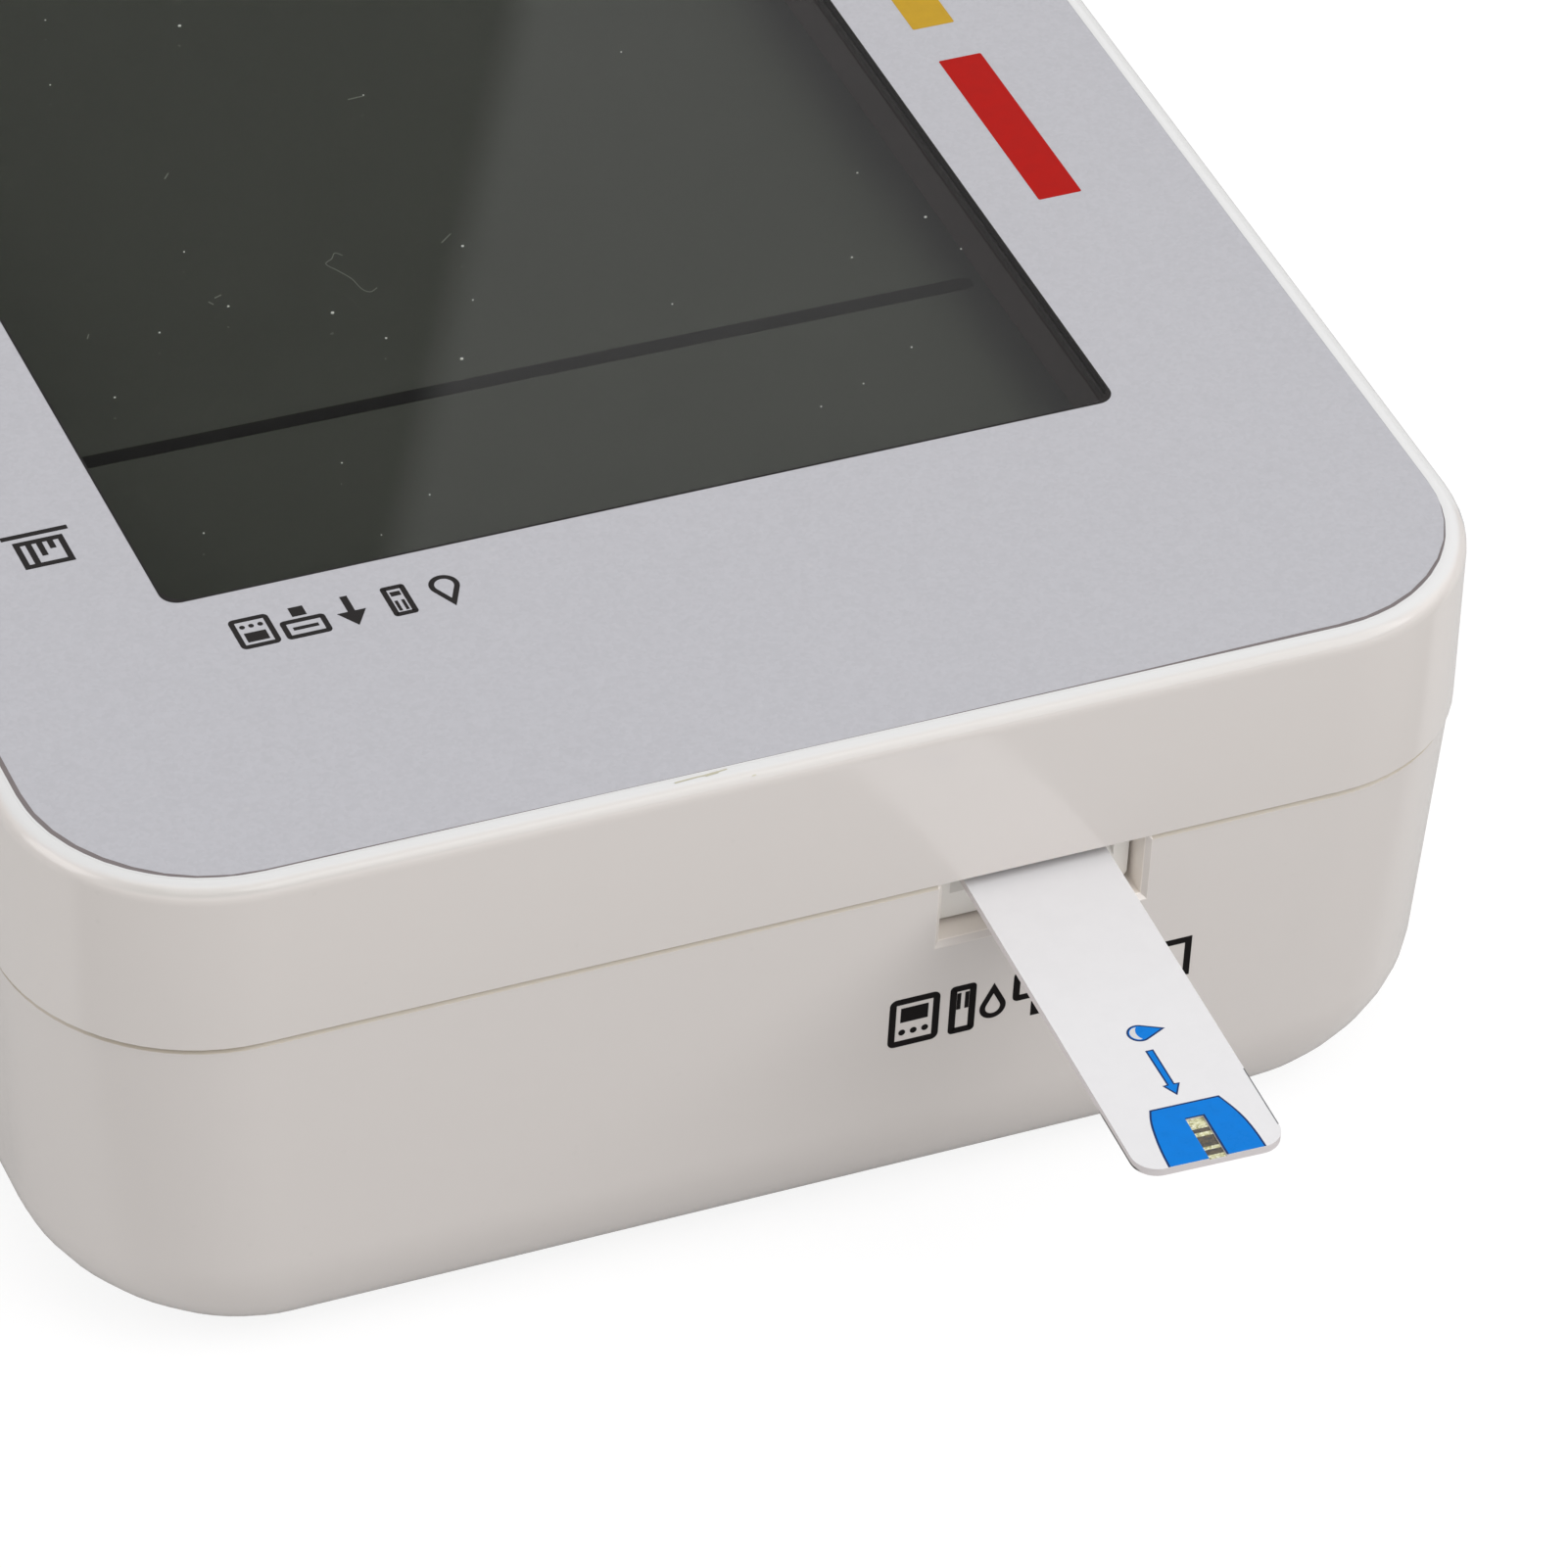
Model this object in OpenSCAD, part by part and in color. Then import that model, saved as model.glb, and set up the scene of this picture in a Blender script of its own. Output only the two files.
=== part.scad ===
// Blood glucose meter: moulded housing, display stack, circuit board, strip port,
// three keys and a battery bay for two AAA cells.
// The origin lies on the surface that the meter rests on, under the middle of the housing.
// +X is the user's right, +Y runs from the keys to the strip port, +Z comes out of the display.

/* [Front panel] */
// Width of the front panel
panel_w = 70; // [63:0.5:80]
// Corner radius of the front panel
panel_r = 8.65; // [7:0.05:12]
// Thickness of the front panel and of the window in it
panel_t = 0.8; // [0.6:0.1:1.2]
// Gap between the front panel and the rim round it
panel_gap = 0.06; // [0.05:0.01:0.25]

/* [Housing] */
// Width of the rim, from the panel's edge to the outer wall
rim_w = 1.02; // [0.9:0.01:2]
// How far the rim stands above the panel
rim_up = 0; // [0:0.05:0.6]
// Radius of the rim's outer edge
rim_round = 0.8; // [0.3:0.05:0.8]
// Depth of the upper shell, from the top of the panel to the parting line
upper_h = 9.23; // [9:0.01:9.6]
// How much wider the upper shell gets towards the parting line
upper_flare = 0.06; // [0:0.01:0.2]
// Step from the upper shell in to the lower one, at the parting line
parting_step = 0.1; // [0:0.01:0.2]
// Chamfer along both edges of the parting line
parting_chamfer = 0.18; // [0.05:0.01:0.2]
// Thickness of the housing's walls
wall = 2; // [1.6:0.1:2.2]
// Thickness of the lower shell's floor
floor_t = 2; // [1.9:0.1:2.2]
// Thickness of the upper shell's plate, under the panel
plate_t = 2; // [1.6:0.1:2.2]
// How far the lower side walls lean in for each millimetre down
side_lean = 0.058; // [0:0.002:0.08]
// Height of the curve from the walls into the underside
curve_h = 6.3; // [5:0.1:8]
// Reach of that curve under the long sides
side_curve = 10.7; // [8:0.1:11]
// Reach of that curve under the two ends
end_curve = 4.9; // [3.5:0.1:5.2]
// Corner radius at the parting line
case_r = 9.44; // [8:0.05:12]
// Corner radius at the underside
foot_r = 1.6; // [1:0.1:3]
// Height of the lower shell's lip inside the upper shell
lip_h = 1.2; // [0.8:0.1:1.6]
// Thickness of that lip
lip_t = 0.9; // [0.7:0.05:1.1]
// Clearance round the lip
lip_gap = 0.12; // [0.05:0.01:0.2]
// Height of the ribs under the upper shell's plate
rib_h = 2.4; // [1:0.1:3]
// Thickness of those ribs
rib_t = 1.2; // [0.8:0.1:1.6]

/* [Display] */
// Width of the window
window_w = 47.75; // [44:0.05:49]
// Length of the window
window_l = 68; // [58:0.5:78]
// Distance from the panel's port end to the window
window_in = 19.24; // [18:0.02:22]
// How far the window sits to the user's right of the middle
window_shift = 0.2; // [0:0.05:0.4]
// Corner radius of the window
window_r = 1.2; // [0.6:0.1:2]
// Depth of the liquid crystal cell below the top of the panel
cell_depth = 4.2; // [4:0.1:4.6]
// Thickness of each glass plate
glass_t = 1.1; // [0.7:0.1:1.1]
// Thickness of each polarising film
film_t = 0.2; // [0.15:0.05:0.3]
// How far the glass runs on behind the frame, all round
glass_border = 2.3; // [2:0.1:2.5]
// Width of the contact ledge on the front glass
ledge_w = 2.9; // [2.6:0.1:3.2]
// Thickness of the frame's walls
frame_wall = 1.5; // [1:0.1:1.5]
// Thickness of the bezel that lines the window
bezel_wall = 1.2; // [0.8:0.1:1.4]
// Clearance between the bezel and the upper shell
bezel_gap = 0.2; // [0.1:0.05:0.3]
// Clearance round the glass in its frame
glass_gap = 0.2; // [0.1:0.05:0.3]
// Height of the frame's flange over the glass
flange_h = 1; // [0.6:0.1:1.2]
// Thickness of the foam gasket
gasket_t = 0.5; // [0.3:0.05:0.6]
// Thickness of the window's hidden lip
lens_lip_t = 0.4; // [0.3:0.05:0.5]
// Width of that lip
lens_lip_w = 0.9; // [0.6:0.05:1]
// Thickness of the rubber contact strip
zebra_t = 2.2; // [1.8:0.1:2.2]
// Length of the rubber contact strip
zebra_l = 45; // [38:0.5:46]
// Diameter of the frame's pins through the board
frame_pin_d = 2; // [1.6:0.1:2.4]

/* [Keys] */
// Distance from the panel's key end to the middle of the keys
key_in = 16; // [15:0.1:18]
// Distance from the window to the middle of the keys
key_space = 16.76; // [16:0.02:20]
// Distance between the middles of two keys
key_pitch = 17; // [16.4:0.1:17.6]
// Diameter of the middle key
main_key_d = 14; // [12:0.2:14.4]
// Diameter of the side keys
side_key_d = 10; // [8:0.2:11]
// How far the keys stand above the panel
key_rise = 0.9; // [0.6:0.1:1.5]
// How much the keys are crowned
key_crown = 0.35; // [0.1:0.05:0.5]
// Radius of the keys' upper edge
key_edge = 0.5; // [0.3:0.05:0.6]
// Gap round a key
key_gap = 0.25; // [0.15:0.01:0.4]
// How far a key moves when it is pressed
key_travel = 0.5; // [0.2:0.05:0.8]
// Width of the flange that holds a key in
key_flange_w = 0.8; // [0.6:0.05:0.9]
// Thickness of that flange
key_flange_t = 1.2; // [0.8:0.1:1.4]
// Clearance above the flange
flange_gap = 0.1; // [0.05:0.01:0.2]
// Wall of the hollow key caps
key_wall = 1.3; // [1:0.1:1.5]
// Diameter of a key's stem
stem_d = 4; // [3.6:0.1:5]
// Width of a switch
switch_w = 6; // [5.5:0.1:6.5]
// Height of a switch's body
switch_h = 3.5; // [3:0.1:4]
// Diameter of a switch's plunger
plunger_d = 3.4; // [3:0.1:3.5]
// How far the plunger stands out of the switch
plunger_up = 1.1; // [0.9:0.1:1.5]
// Running clearance round the plunger
plunger_gap = 0.06; // [0.03:0.01:0.1]

/* [Strip port] */
// Middle of the port, to the user's left of the housing's middle
port_x = 11.75; // [11:0.05:12.5]
// Width of the port
port_w = 10.25; // [10.2:0.05:11]
// Height of the port below the parting line
port_h = 3.5; // [2.9:0.05:3.6]
// Clearance between the port and the connector's nose
nose_gap = 0.2; // [0.2:0.02:0.4]
// How far the nose stays behind the outer wall
nose_back = 1.5; // [1:0.05:1.6]
// Corner radius under the nose
nose_r = 0.35; // [0.3:0.05:1]
// Width of the slot for the strip
slot_w = 8.2; // [8.1:0.05:8.4]
// Clearance under and over the strip in the slot
slot_gap = 0.2; // [0.15:0.01:0.25]
// Length of the connector behind the nose
socket_l = 12.2; // [11.8:0.1:12.8]
// Thickness of the connector's side walls
socket_wall = 1.4; // [1:0.1:1.5]
// Height of the cavity for the contacts
socket_room = 1.9; // [1.8:0.05:2.1]
// Number of contact springs
contact_count = 4; // [2:1:4]
// Distance between two contact springs
contact_pitch = 1.5; // [1.4:0.1:1.6]
// Width of a contact spring
contact_w = 0.6; // [0.4:0.1:0.8]
// Thickness of a contact spring
contact_t = 0.25; // [0.2:0.01:0.3]

/* [Test strip] */
// Width of the test strip
strip_w = 7.2; // [6:0.1:7.3]
// How far the strip stands out of the housing
strip_out = 21.1; // [15:0.1:24]
// How far the strip reaches into the housing
strip_in = 11.3; // [10.8:0.1:11.4]
// Thickness of the strip's base film
strip_t = 0.3; // [0.2:0.05:0.35]
// Thickness of the cover film
cover_t = 0.1; // [0.05:0.01:0.12]
// Height from the strip's upper face to the parting line
strip_drop = 0.42; // [0.4:0.01:0.5]
// Corner radius at the strip's free end
strip_r = 1.2; // [0.5:0.1:2]
// How far the strip stands askew in its slot, in degrees
strip_skew = 1.75; // [0:0.05:2]
// How far the strip lies to the user's right of the port's middle, at the wall
strip_shift = 0.35; // [0:0.01:0.4]
// Width of the viewing cut in the cover film
view_w = 0.86; // [0.6:0.02:1.4]
// Length of the viewing cut
view_l = 3.1; // [2.5:0.1:4]
// How far the viewing cut lies to the user's left of the strip's middle
view_shift = 0.14; // [0:0.02:0.6]

/* [Battery bay] */
// Diameter of a cell
cell_d = 10.5; // [10:0.1:10.7]
// Length of a cell with its button
cell_l = 44.5; // [43:0.1:45]
// Diameter of a cell's button
button_d = 3.8; // [3.4:0.1:4.4]
// Height of a cell's button
button_h = 1; // [0.8:0.1:1.3]
// Gap between the two cells
cell_space = 0.7; // [0.4:0.1:1]
// Clearance under and over the cells
cell_gap = 0.3; // [0.2:0.05:0.35]
// Clearance beside the cells
cell_side = 0.5; // [0.3:0.05:0.7]
// Length of a pressed contact spring
spring_l = 5.1; // [4:0.1:6]
// Number of turns of a contact spring
spring_turns = 3.5; // [2.5:0.5:4]
// Wire of a contact spring
spring_wire = 0.7; // [0.5:0.05:0.8]
// Thickness of the contact plates
contact_plate_t = 0.4; // [0.3:0.05:0.5]
// Width of the contact plates
contact_plate_w = 8.4; // [7:0.1:9]
// Width of a contact plate's tail through the board
tail_w = 2.4; // [1.6:0.1:3]
// Height of the dimple on a contact plate
dimple_h = 0.6; // [0.4:0.05:0.8]
// Thickness of the bay's walls
bay_wall = 1.5; // [1.2:0.1:1.6]
// Thickness of the bay's ceiling
bay_ceiling = 1.2; // [1:0.1:1.3]

/* [Battery door] */
// Thickness of the door
door_t = 1.7; // [1.5:0.05:1.75]
// How far the door lies behind the underside
door_back = 0.1; // [0.05:0.01:0.2]
// Gap round the door
door_gap = 0.15; // [0.1:0.01:0.25]
// How far the door reaches past the bay on each side
door_side = 2.65; // [2.6:0.05:3.2]
// Height of the door's upturned end
door_end_h = 12; // [9:0.1:12.4]
// How far the door slides before its hooks come free
door_slide = 6; // [5.5:0.1:6.5]
// Thickness of the ledges that the hooks hold
ledge_t = 1; // [0.8:0.05:1.1]
// Reach of the ledges over the door
ledge_reach = 2.35; // [2:0.05:2.5]
// Length of a hook
hook_l = 4; // [3:0.1:4.5]
// Thickness of a hook's post and lip
hook_t = 0.8; // [0.7:0.05:0.9]
// Number of grip ribs
grip_count = 6; // [3:1:8]
// Distance between two grip ribs
grip_pitch = 1.8; // [1.6:0.1:2]
// Depth of the grip recess
grip_depth = 0.6; // [0.3:0.05:0.8]

/* [Circuit board] */
// Thickness of the board
board_t = 1.6; // [1:0.1:1.6]
// Height from the board's upper face to the parting line
board_drop = 3.17; // [3.15:0.01:3.3]
// Clearance between the bay's ceiling and the board
board_over = 1; // [0.6:0.1:3]
// Clearance between the board and the walls
board_gap = 1.7; // [1.2:0.1:2.2]
// Corner radius of the board
board_r = 5; // [3:0.5:7]
// Diameter of the buzzer
buzzer_d = 12; // [9:0.5:14]
// Height of the buzzer
buzzer_h = 6.5; // [4:0.5:9]
// Diameter of a sound hole
sound_d = 1.4; // [1:0.1:1.8]
// Width of the microcontroller's body
chip_w = 10; // [7:0.5:12]
// Number of the microcontroller's legs on each side
chip_legs = 11; // [6:1:12]
// Length of the crystal's can
crystal_l = 11; // [8:0.5:12]
// Width of the crystal's can
crystal_w = 4.6; // [3.4:0.1:5]
// Height of the crystal's can
crystal_h = 3.5; // [2:0.1:3.8]
// Diameter of the round capacitors
capacitor_d = 5; // [3.5:0.1:6]
// Height of the round capacitors
capacitor_h = 4.6; // [3:0.1:4.8]
// Length of a resistor
resistor_l = 2; // [1.2:0.1:2.6]

/* [Screws] */
// Clearance between the upper bosses and the strip's socket
screw_clear = 1.05; // [0.8:0.05:2]
// Distance from the panel's end to the screws
screw_in_y = 6.6; // [6.2:0.1:7]
// Diameter of a screw
screw_d = 2.2; // [1.8:0.1:2.4]
// Length of a screw under its head
screw_l = 11.5; // [9:0.5:13]
// Diameter of a screw's head
head_d = 4.2; // [3.6:0.1:4.4]
// Height of a screw's head
head_h = 1.6; // [1.2:0.1:1.8]
// Height of the screw's seat above the underside
seat_z = 9.5; // [8:0.5:10.5]
// Diameter of the sink for a screw
sink_d = 5; // [4.6:0.1:5.2]
// Diameter of the lower bosses
low_boss_d = 7; // [6.6:0.1:7.4]
// Diameter of the upper bosses
top_boss_d = 5.4; // [5:0.1:5.6]

/* [Hidden] */

$fn = 64;
eps = 0.01;
corner_steps = 16;   // sides of one rounded corner of a moulded shell
curve_steps = 10;    // levels up the curve from the underside into the walls
rim_steps = 5;       // levels round the rim's edge

bay_half = cell_d + cell_space/2 + cell_side;    // half the battery bay's width
cell_x = cell_d/2 + cell_space/2;
door_top = door_back + door_t;
cell_mid = door_top + cell_gap + cell_d/2;  // height of the cells' middle
bay_top = cell_mid + cell_d/2 + cell_gap;   // underside of the bay's ceiling

board_under = bay_top + bay_ceiling + board_over;
board_z = board_under + board_t;            // upper face of the board
part_z = board_z + board_drop;              // parting line
case_h = part_z + upper_h;                  // top of the panel
rim_z = case_h + rim_up;                    // top of the rim
panel_z = case_h - panel_t;                 // underside of the panel
plate_z = panel_z - plate_t;                // underside of the upper shell's plate

panel_l = window_in + window_l + key_space + key_in;
half_w = panel_w/2;
half_l = panel_l/2;
upper_out = rim_w + upper_flare;            // outer wall beyond the panel, at the parting line
lower_out = upper_out - parting_step;
end_y = half_l + lower_out;                 // outer face of the lower shell's ends

window_y = half_l - window_in - window_l/2; // middle of the window
cell_z = case_h - cell_depth;               // upper face of the liquid crystal cell
front_glass_z = cell_z - film_t - glass_t;
back_glass_z = front_glass_z - glass_t;
back_film_z = back_glass_z - film_t;
lens_lip_z = panel_z - lens_lip_t;
gasket_z = lens_lip_z - gasket_t;
glass_w = window_w + 2*glass_border;
glass_l = window_l + 2*glass_border;
frame_w = glass_w + 2*glass_gap + 2*frame_wall;
frame_l = glass_l + ledge_w + 2*glass_gap + 2*frame_wall;
frame_y = window_y - ledge_w/2;             // the frame's middle, as the ledge is at the key end
frame_top = cell_z + flange_h;
bezel_w = window_w + 2*bezel_wall;
bezel_l = window_l + 2*bezel_wall;
glass_key_y = window_y - glass_l/2;         // key end of the back glass
skirt_z = back_film_z - 1;                  // lower edge of the frame's skirt
leg_w = 3;

board_w = 2*(half_w + lower_out - wall - board_gap) - 2*side_lean*(part_z - board_under);
board_l = 2*(end_y - wall - board_gap);

key_y = -half_l + key_in;
key_top = case_h + key_rise;
flange_top = plate_z - flange_gap;
plunger_top = board_z + switch_h + plunger_up;
plunger_end = board_z + switch_h - 0.8;     // the plunger's lower end, in the switch
KEY_X = [0, -key_pitch, key_pitch];
KEY_D = [main_key_d, side_key_d, side_key_d];

wall_y = half_l + upper_out;                // outer face of the port's wall
strip_top = part_z - strip_drop;
cover_z = strip_top - cover_t;
base_z = cover_z - strip_t;
slot_z = base_z - slot_gap;                 // floor of the strip's slot
nose_w = port_w - 2*nose_gap;
nose_z = part_z - port_h + nose_gap;
nose_y = wall_y - nose_back;
socket_y = half_l + upper_out - wall - 0.3; // front of the socket, behind the wall
socket_back = socket_y - socket_l;
socket_w = slot_w + 2*socket_wall;
socket_top = slot_z + socket_room;
strip_shoulder = 4.6;                       // how far the cover film reaches inside the wall

bay_l = cell_l + spring_l + dimple_h + 2*contact_plate_t;
bay_y0 = -end_y + wall + 3.4;               // key end of the bay
bay_y1 = bay_y0 + bay_l;                    // port end of the bay
door_y1 = bay_y1 + 1;                       // port end of the door
door_half = bay_half + door_side;
ledge_z = door_top + door_gap;
ledge_x = door_half + door_gap - ledge_reach;
hook_z = ledge_z + ledge_t + door_gap;      // underside of the hooks' lips
hook_x = ledge_x - 0.2;                     // outer side of the hooks' posts
shelf_z = hook_z + hook_t + 0.2;
HOOK_Y = [bay_y0 + 0.235*bay_l, bay_y0 + 0.706*bay_l];  // middle of each hook

screw_x = port_x + socket_w/2 + top_boss_d/2 + screw_clear;
screw_y = half_l - screw_in_y;
pilot_gap = 0.02;
sound_ring = 0.28*buzzer_d;                 // radius of the ring of sound holes
buzzer_at = [0.16*board_w, 0.19*board_l];
chip_at = [0.03*board_w, 0.09*board_l];
crystal_at = [-0.22*board_w, -0.035*board_l];
capacitor_at = [0.31*board_w, 0];
resistor_at = [-0.19*board_w, 0.21*board_l];

// How far the curve has run in at height z, from 0 on the wall to 1 at the underside
function run_in(z, rise) = z >= rise ? 0 : 1 - sqrt(max(0, 1 - pow(1 - z/rise, 2)));

// Outer half width, half length and corner radius of the lower shell at height z
function low_x(z) = half_w + lower_out - side_lean*(part_z - z) - side_curve*run_in(z, curve_h);
function low_y(z) = end_y - end_curve*run_in(z, curve_h);
function low_r(z) = case_r - (case_r - foot_r)*run_in(z, curve_h);

// The same for its inside, where the curve ends on the floor
function in_rise() = curve_h - floor_t;
function in_x(z) = half_w + lower_out - wall - side_lean*(part_z - z)
                   - (side_curve - 1)*run_in(z - floor_t, in_rise());
function in_y(z) = end_y - wall - (end_curve - 1)*run_in(z - floor_t, in_rise());
function in_r(z) = case_r - wall - (case_r - wall - foot_r)*run_in(z - floor_t, in_rise());

// A rounded rectangle at height z, as points anticlockwise from above
function ring(hx, hy, r, z) =
    [for (q = [0:3]) for (i = [0:corner_steps])
        let (a = 90*q + 90*i/corner_steps,
             sx = (q == 0 || q == 3) ? 1 : -1,
             sy = q < 2 ? 1 : -1)
        [sx*(hx - r) + r*cos(a), sy*(hy - r) + r*sin(a), z]];

// A solid through a stack of rings, listed from the lowest up
module loft(rows) {
    n = len(rows[0]);
    m = len(rows);
    sides = [for (k = [0:m - 2]) for (i = [0:n - 1])
        let (j = (i + 1)%n) [k*n + i, (k + 1)*n + i, (k + 1)*n + j, k*n + j]];
    floor_face = [for (i = [0:n - 1]) i];
    top_face = [for (i = [0:n - 1]) m*n - 1 - i];
    polyhedron(points = [for (row = rows) each row], faces = concat([floor_face], sides, [top_face]),
               convexity = 6);
}

module round_rect(w, l, r) {
    square([w - 2*r, l], center = true);
    square([w, l - 2*r], center = true);
    for (x = [-1, 1]) for (y = [-1, 1])
        translate([x*(w/2 - r), y*(l/2 - r)]) circle(r);
}

module plate(w, l, r, z0, z1, at = [0, 0]) {
    translate([at.x, at.y, z0]) linear_extrude(z1 - z0) round_rect(w, l, r);
}

// A profile in X and Z, drawn out from y0 to y1
module along_y(y0, y1) {
    translate([0, y1, 0]) rotate([90, 0, 0]) linear_extrude(y1 - y0) children();
}

// A profile in Y and Z, drawn out from x0 to x1
module along_x(x0, x1) {
    translate([x0, 0, 0]) rotate([90, 0, 90]) linear_extrude(x1 - x0) children();
}

module box(x0, x1, y0, y1, z0, z1) {
    translate([x0, y0, z0]) cube([x1 - x0, y1 - y0, z1 - z0]);
}

module four(x, y) {
    for (i = [-1, 1]) for (j = [-1, 1]) translate([i*x, j*y, 0]) children();
}

// The port's cut through the end wall, with its edge broken
module port_cut() {
    edge = 0.25;
    box(-port_x - port_w/2, -port_x + port_w/2, end_y - wall - 1, end_y + 1,
        part_z - port_h, part_z + lip_h + 1);
    hull() {
        box(-port_x - port_w/2, -port_x + port_w/2, end_y - edge, end_y,
            part_z - port_h, part_z + eps);
        box(-port_x - port_w/2 - edge, -port_x + port_w/2 + edge, end_y, end_y + 0.2,
            part_z - port_h - edge, part_z + eps);
    }
}

module top_shell() {
    straight_z = rim_z - rim_round;
    low = half_w + upper_out;
    outer = concat(
        [ring(low - parting_chamfer, half_l + upper_out - parting_chamfer,
              case_r - parting_chamfer, part_z),
         ring(low, half_l + upper_out, case_r, part_z + parting_chamfer)],
        [for (i = [0:rim_steps])
            let (t = 90*i/rim_steps, in = rim_round*(1 - cos(t)), out = rim_w - in)
            ring(half_w + out, half_l + out, panel_r + out, straight_z + rim_round*sin(t))]);
    color("whitesmoke") difference() {
        union() {
            difference() {
                loft(outer);
                plate(2*(low - wall), 2*(half_l + upper_out - wall), case_r - wall,
                      part_z - 1, plate_z);
                plate(2*(low - wall + lip_t + lip_gap), 2*(half_l + upper_out - wall + lip_t + lip_gap),
                      case_r - wall + lip_t + lip_gap, part_z - 1, part_z + lip_h + lip_gap);
            }
            four(screw_x, screw_y)
                translate([0, 0, board_z]) cylinder(d = top_boss_d, h = plate_z + 1 - board_z);
            for (x = [-1, 1])
                box(x*key_pitch/2 - rib_t/2, x*key_pitch/2 + rib_t/2, -half_l, key_y - main_key_d/2,
                    plate_z - rib_h, plate_z + eps);
            for (y = [-1, 1])
                box(-screw_x, screw_x, y*screw_y - rib_t/2, y*screw_y + rib_t/2,
                    plate_z - rib_h, plate_z + eps);
        }
        plate(panel_w + 2*panel_gap, panel_l + 2*panel_gap, panel_r + panel_gap, panel_z, rim_z + 1);
        plate(bezel_w + 2*bezel_gap, bezel_l + 2*bezel_gap, window_r + bezel_wall + bezel_gap,
              plate_z - 1, rim_z, [window_shift, window_y]);
        for (i = [0:2])
            translate([KEY_X[i], key_y, plate_z - 1])
                cylinder(d = KEY_D[i] + 2*key_gap, h = plate_t + 2);
        four(screw_x, screw_y) translate([0, 0, board_z - 1])
            cylinder(d = screw_d + 2*pilot_gap, h = seat_z + screw_l + 1.5 - board_z);
    }
}

// One side of the battery bay, seen along it: wall, shelf over the hooks, and outer skirt
module bay_side() {
    translate([bay_half, shelf_z]) square([bay_wall, bay_top + bay_ceiling - shelf_z]);
    translate([bay_half, shelf_z]) square([door_half + door_gap + bay_wall - bay_half, bay_wall]);
    translate([door_half + door_gap, floor_t/2])
        square([bay_wall, shelf_z + bay_wall - floor_t/2]);
    translate([ledge_x, ledge_z]) square([ledge_reach + eps, ledge_t]);
}

module battery_bay() {
    y0 = bay_y0 - bay_wall;
    y1 = bay_y1 + bay_wall + 0.7;
    difference() {
        union() {
            for (m = [0, 1]) mirror([m, 0, 0]) along_y(y0, y1) bay_side();
            box(-bay_half - eps, bay_half + eps, y0, y1, bay_top, bay_top + bay_ceiling);
            box(-door_half - door_gap - eps, door_half + door_gap + eps, bay_y1, y1,
                ledge_z, bay_top + eps);
            box(-door_half - door_gap - eps, door_half + door_gap + eps, y0, bay_y0,
                ledge_z, bay_top + eps);
        }
        for (m = [0, 1]) mirror([m, 0, 0]) for (y = HOOK_Y)
            box(ledge_x - eps, door_half + door_gap, y - door_slide - hook_l/2 - 0.3,
                y - door_slide + hook_l/2 + 0.3, ledge_z - eps, hook_z);
        for (x = [-cell_x, cell_x])
            box(x - tail_w/2 - 0.1, x + tail_w/2 + 0.1, bay_y1 - contact_plate_t - 0.1, bay_y1,
                bay_top - 1, bay_top + bay_ceiling + 1);
    }
}

module bottom_shell() {
    outer = concat(
        [for (i = [0:curve_steps])
            let (z = curve_h*(1 - cos(90*i/curve_steps))) ring(low_x(z), low_y(z), low_r(z), z)],
        [ring(low_x(part_z - parting_chamfer), low_y(part_z), case_r, part_z - parting_chamfer),
         ring(low_x(part_z) - parting_chamfer, low_y(part_z) - parting_chamfer,
              case_r - parting_chamfer, part_z)]);
    inner = concat(
        [for (i = [0:curve_steps])
            let (z = floor_t + in_rise()*(1 - cos(90*i/curve_steps))) ring(in_x(z), in_y(z), in_r(z), z)],
        [ring(in_x(part_z), in_y(part_z), case_r - wall, part_z),
         ring(in_x(part_z), in_y(part_z), case_r - wall, part_z + lip_h + 1)]);
    lip_out = lower_out - wall + lip_t;
    color("white") difference() {
        union() {
            difference() {
                union() {
                    loft(outer);
                    plate(2*(half_w + lip_out), 2*(half_l + lip_out), case_r - wall + lip_t,
                          part_z - 1, part_z + lip_h);
                }
                loft(inner);
                box(-door_half - door_gap, door_half + door_gap, -end_y - 1,
                    door_y1 + door_gap, -1, floor_t + 1);
                box(-door_half - door_gap, door_half + door_gap, -end_y - 1,
                    bay_y0 - bay_wall - 0.2, -1, door_end_h + door_gap);
            }
            battery_bay();
            four(screw_x, screw_y) translate([0, 0, floor_t/2])
                cylinder(d = low_boss_d, h = board_under - floor_t/2);
        }
        four(screw_x, screw_y) {
            translate([0, 0, -1]) cylinder(d = sink_d, h = seat_z + 1);
            cylinder(d = screw_d + 0.4, h = board_z);
        }
        port_cut();
        translate([buzzer_at.x, buzzer_at.y, -1]) {
            cylinder(d = sound_d, h = floor_t + 2);
            for (a = [0:60:300]) rotate(a) translate([sound_ring, 0, 0])
                cylinder(d = sound_d, h = floor_t + 2);
        }
    }
}

module face_panel() {
    color("silver") difference() {
        plate(panel_w, panel_l, panel_r, panel_z, case_h);
        plate(window_w, window_l, window_r, panel_z - 1, case_h + 1, [window_shift, window_y]);
        for (i = [0:2]) translate([KEY_X[i], key_y, panel_z - 1])
            cylinder(d = KEY_D[i] + 2*key_gap, h = panel_t + 2);
    }
}

module display_window() {
    at = [window_shift, window_y];
    color("lightsteelblue", 0.4) {
        plate(window_w, window_l, window_r, panel_z - eps, case_h, at);
        plate(window_w + 2*lens_lip_w, window_l + 2*lens_lip_w, window_r + lens_lip_w,
              lens_lip_z, panel_z, at);
    }
}

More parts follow.
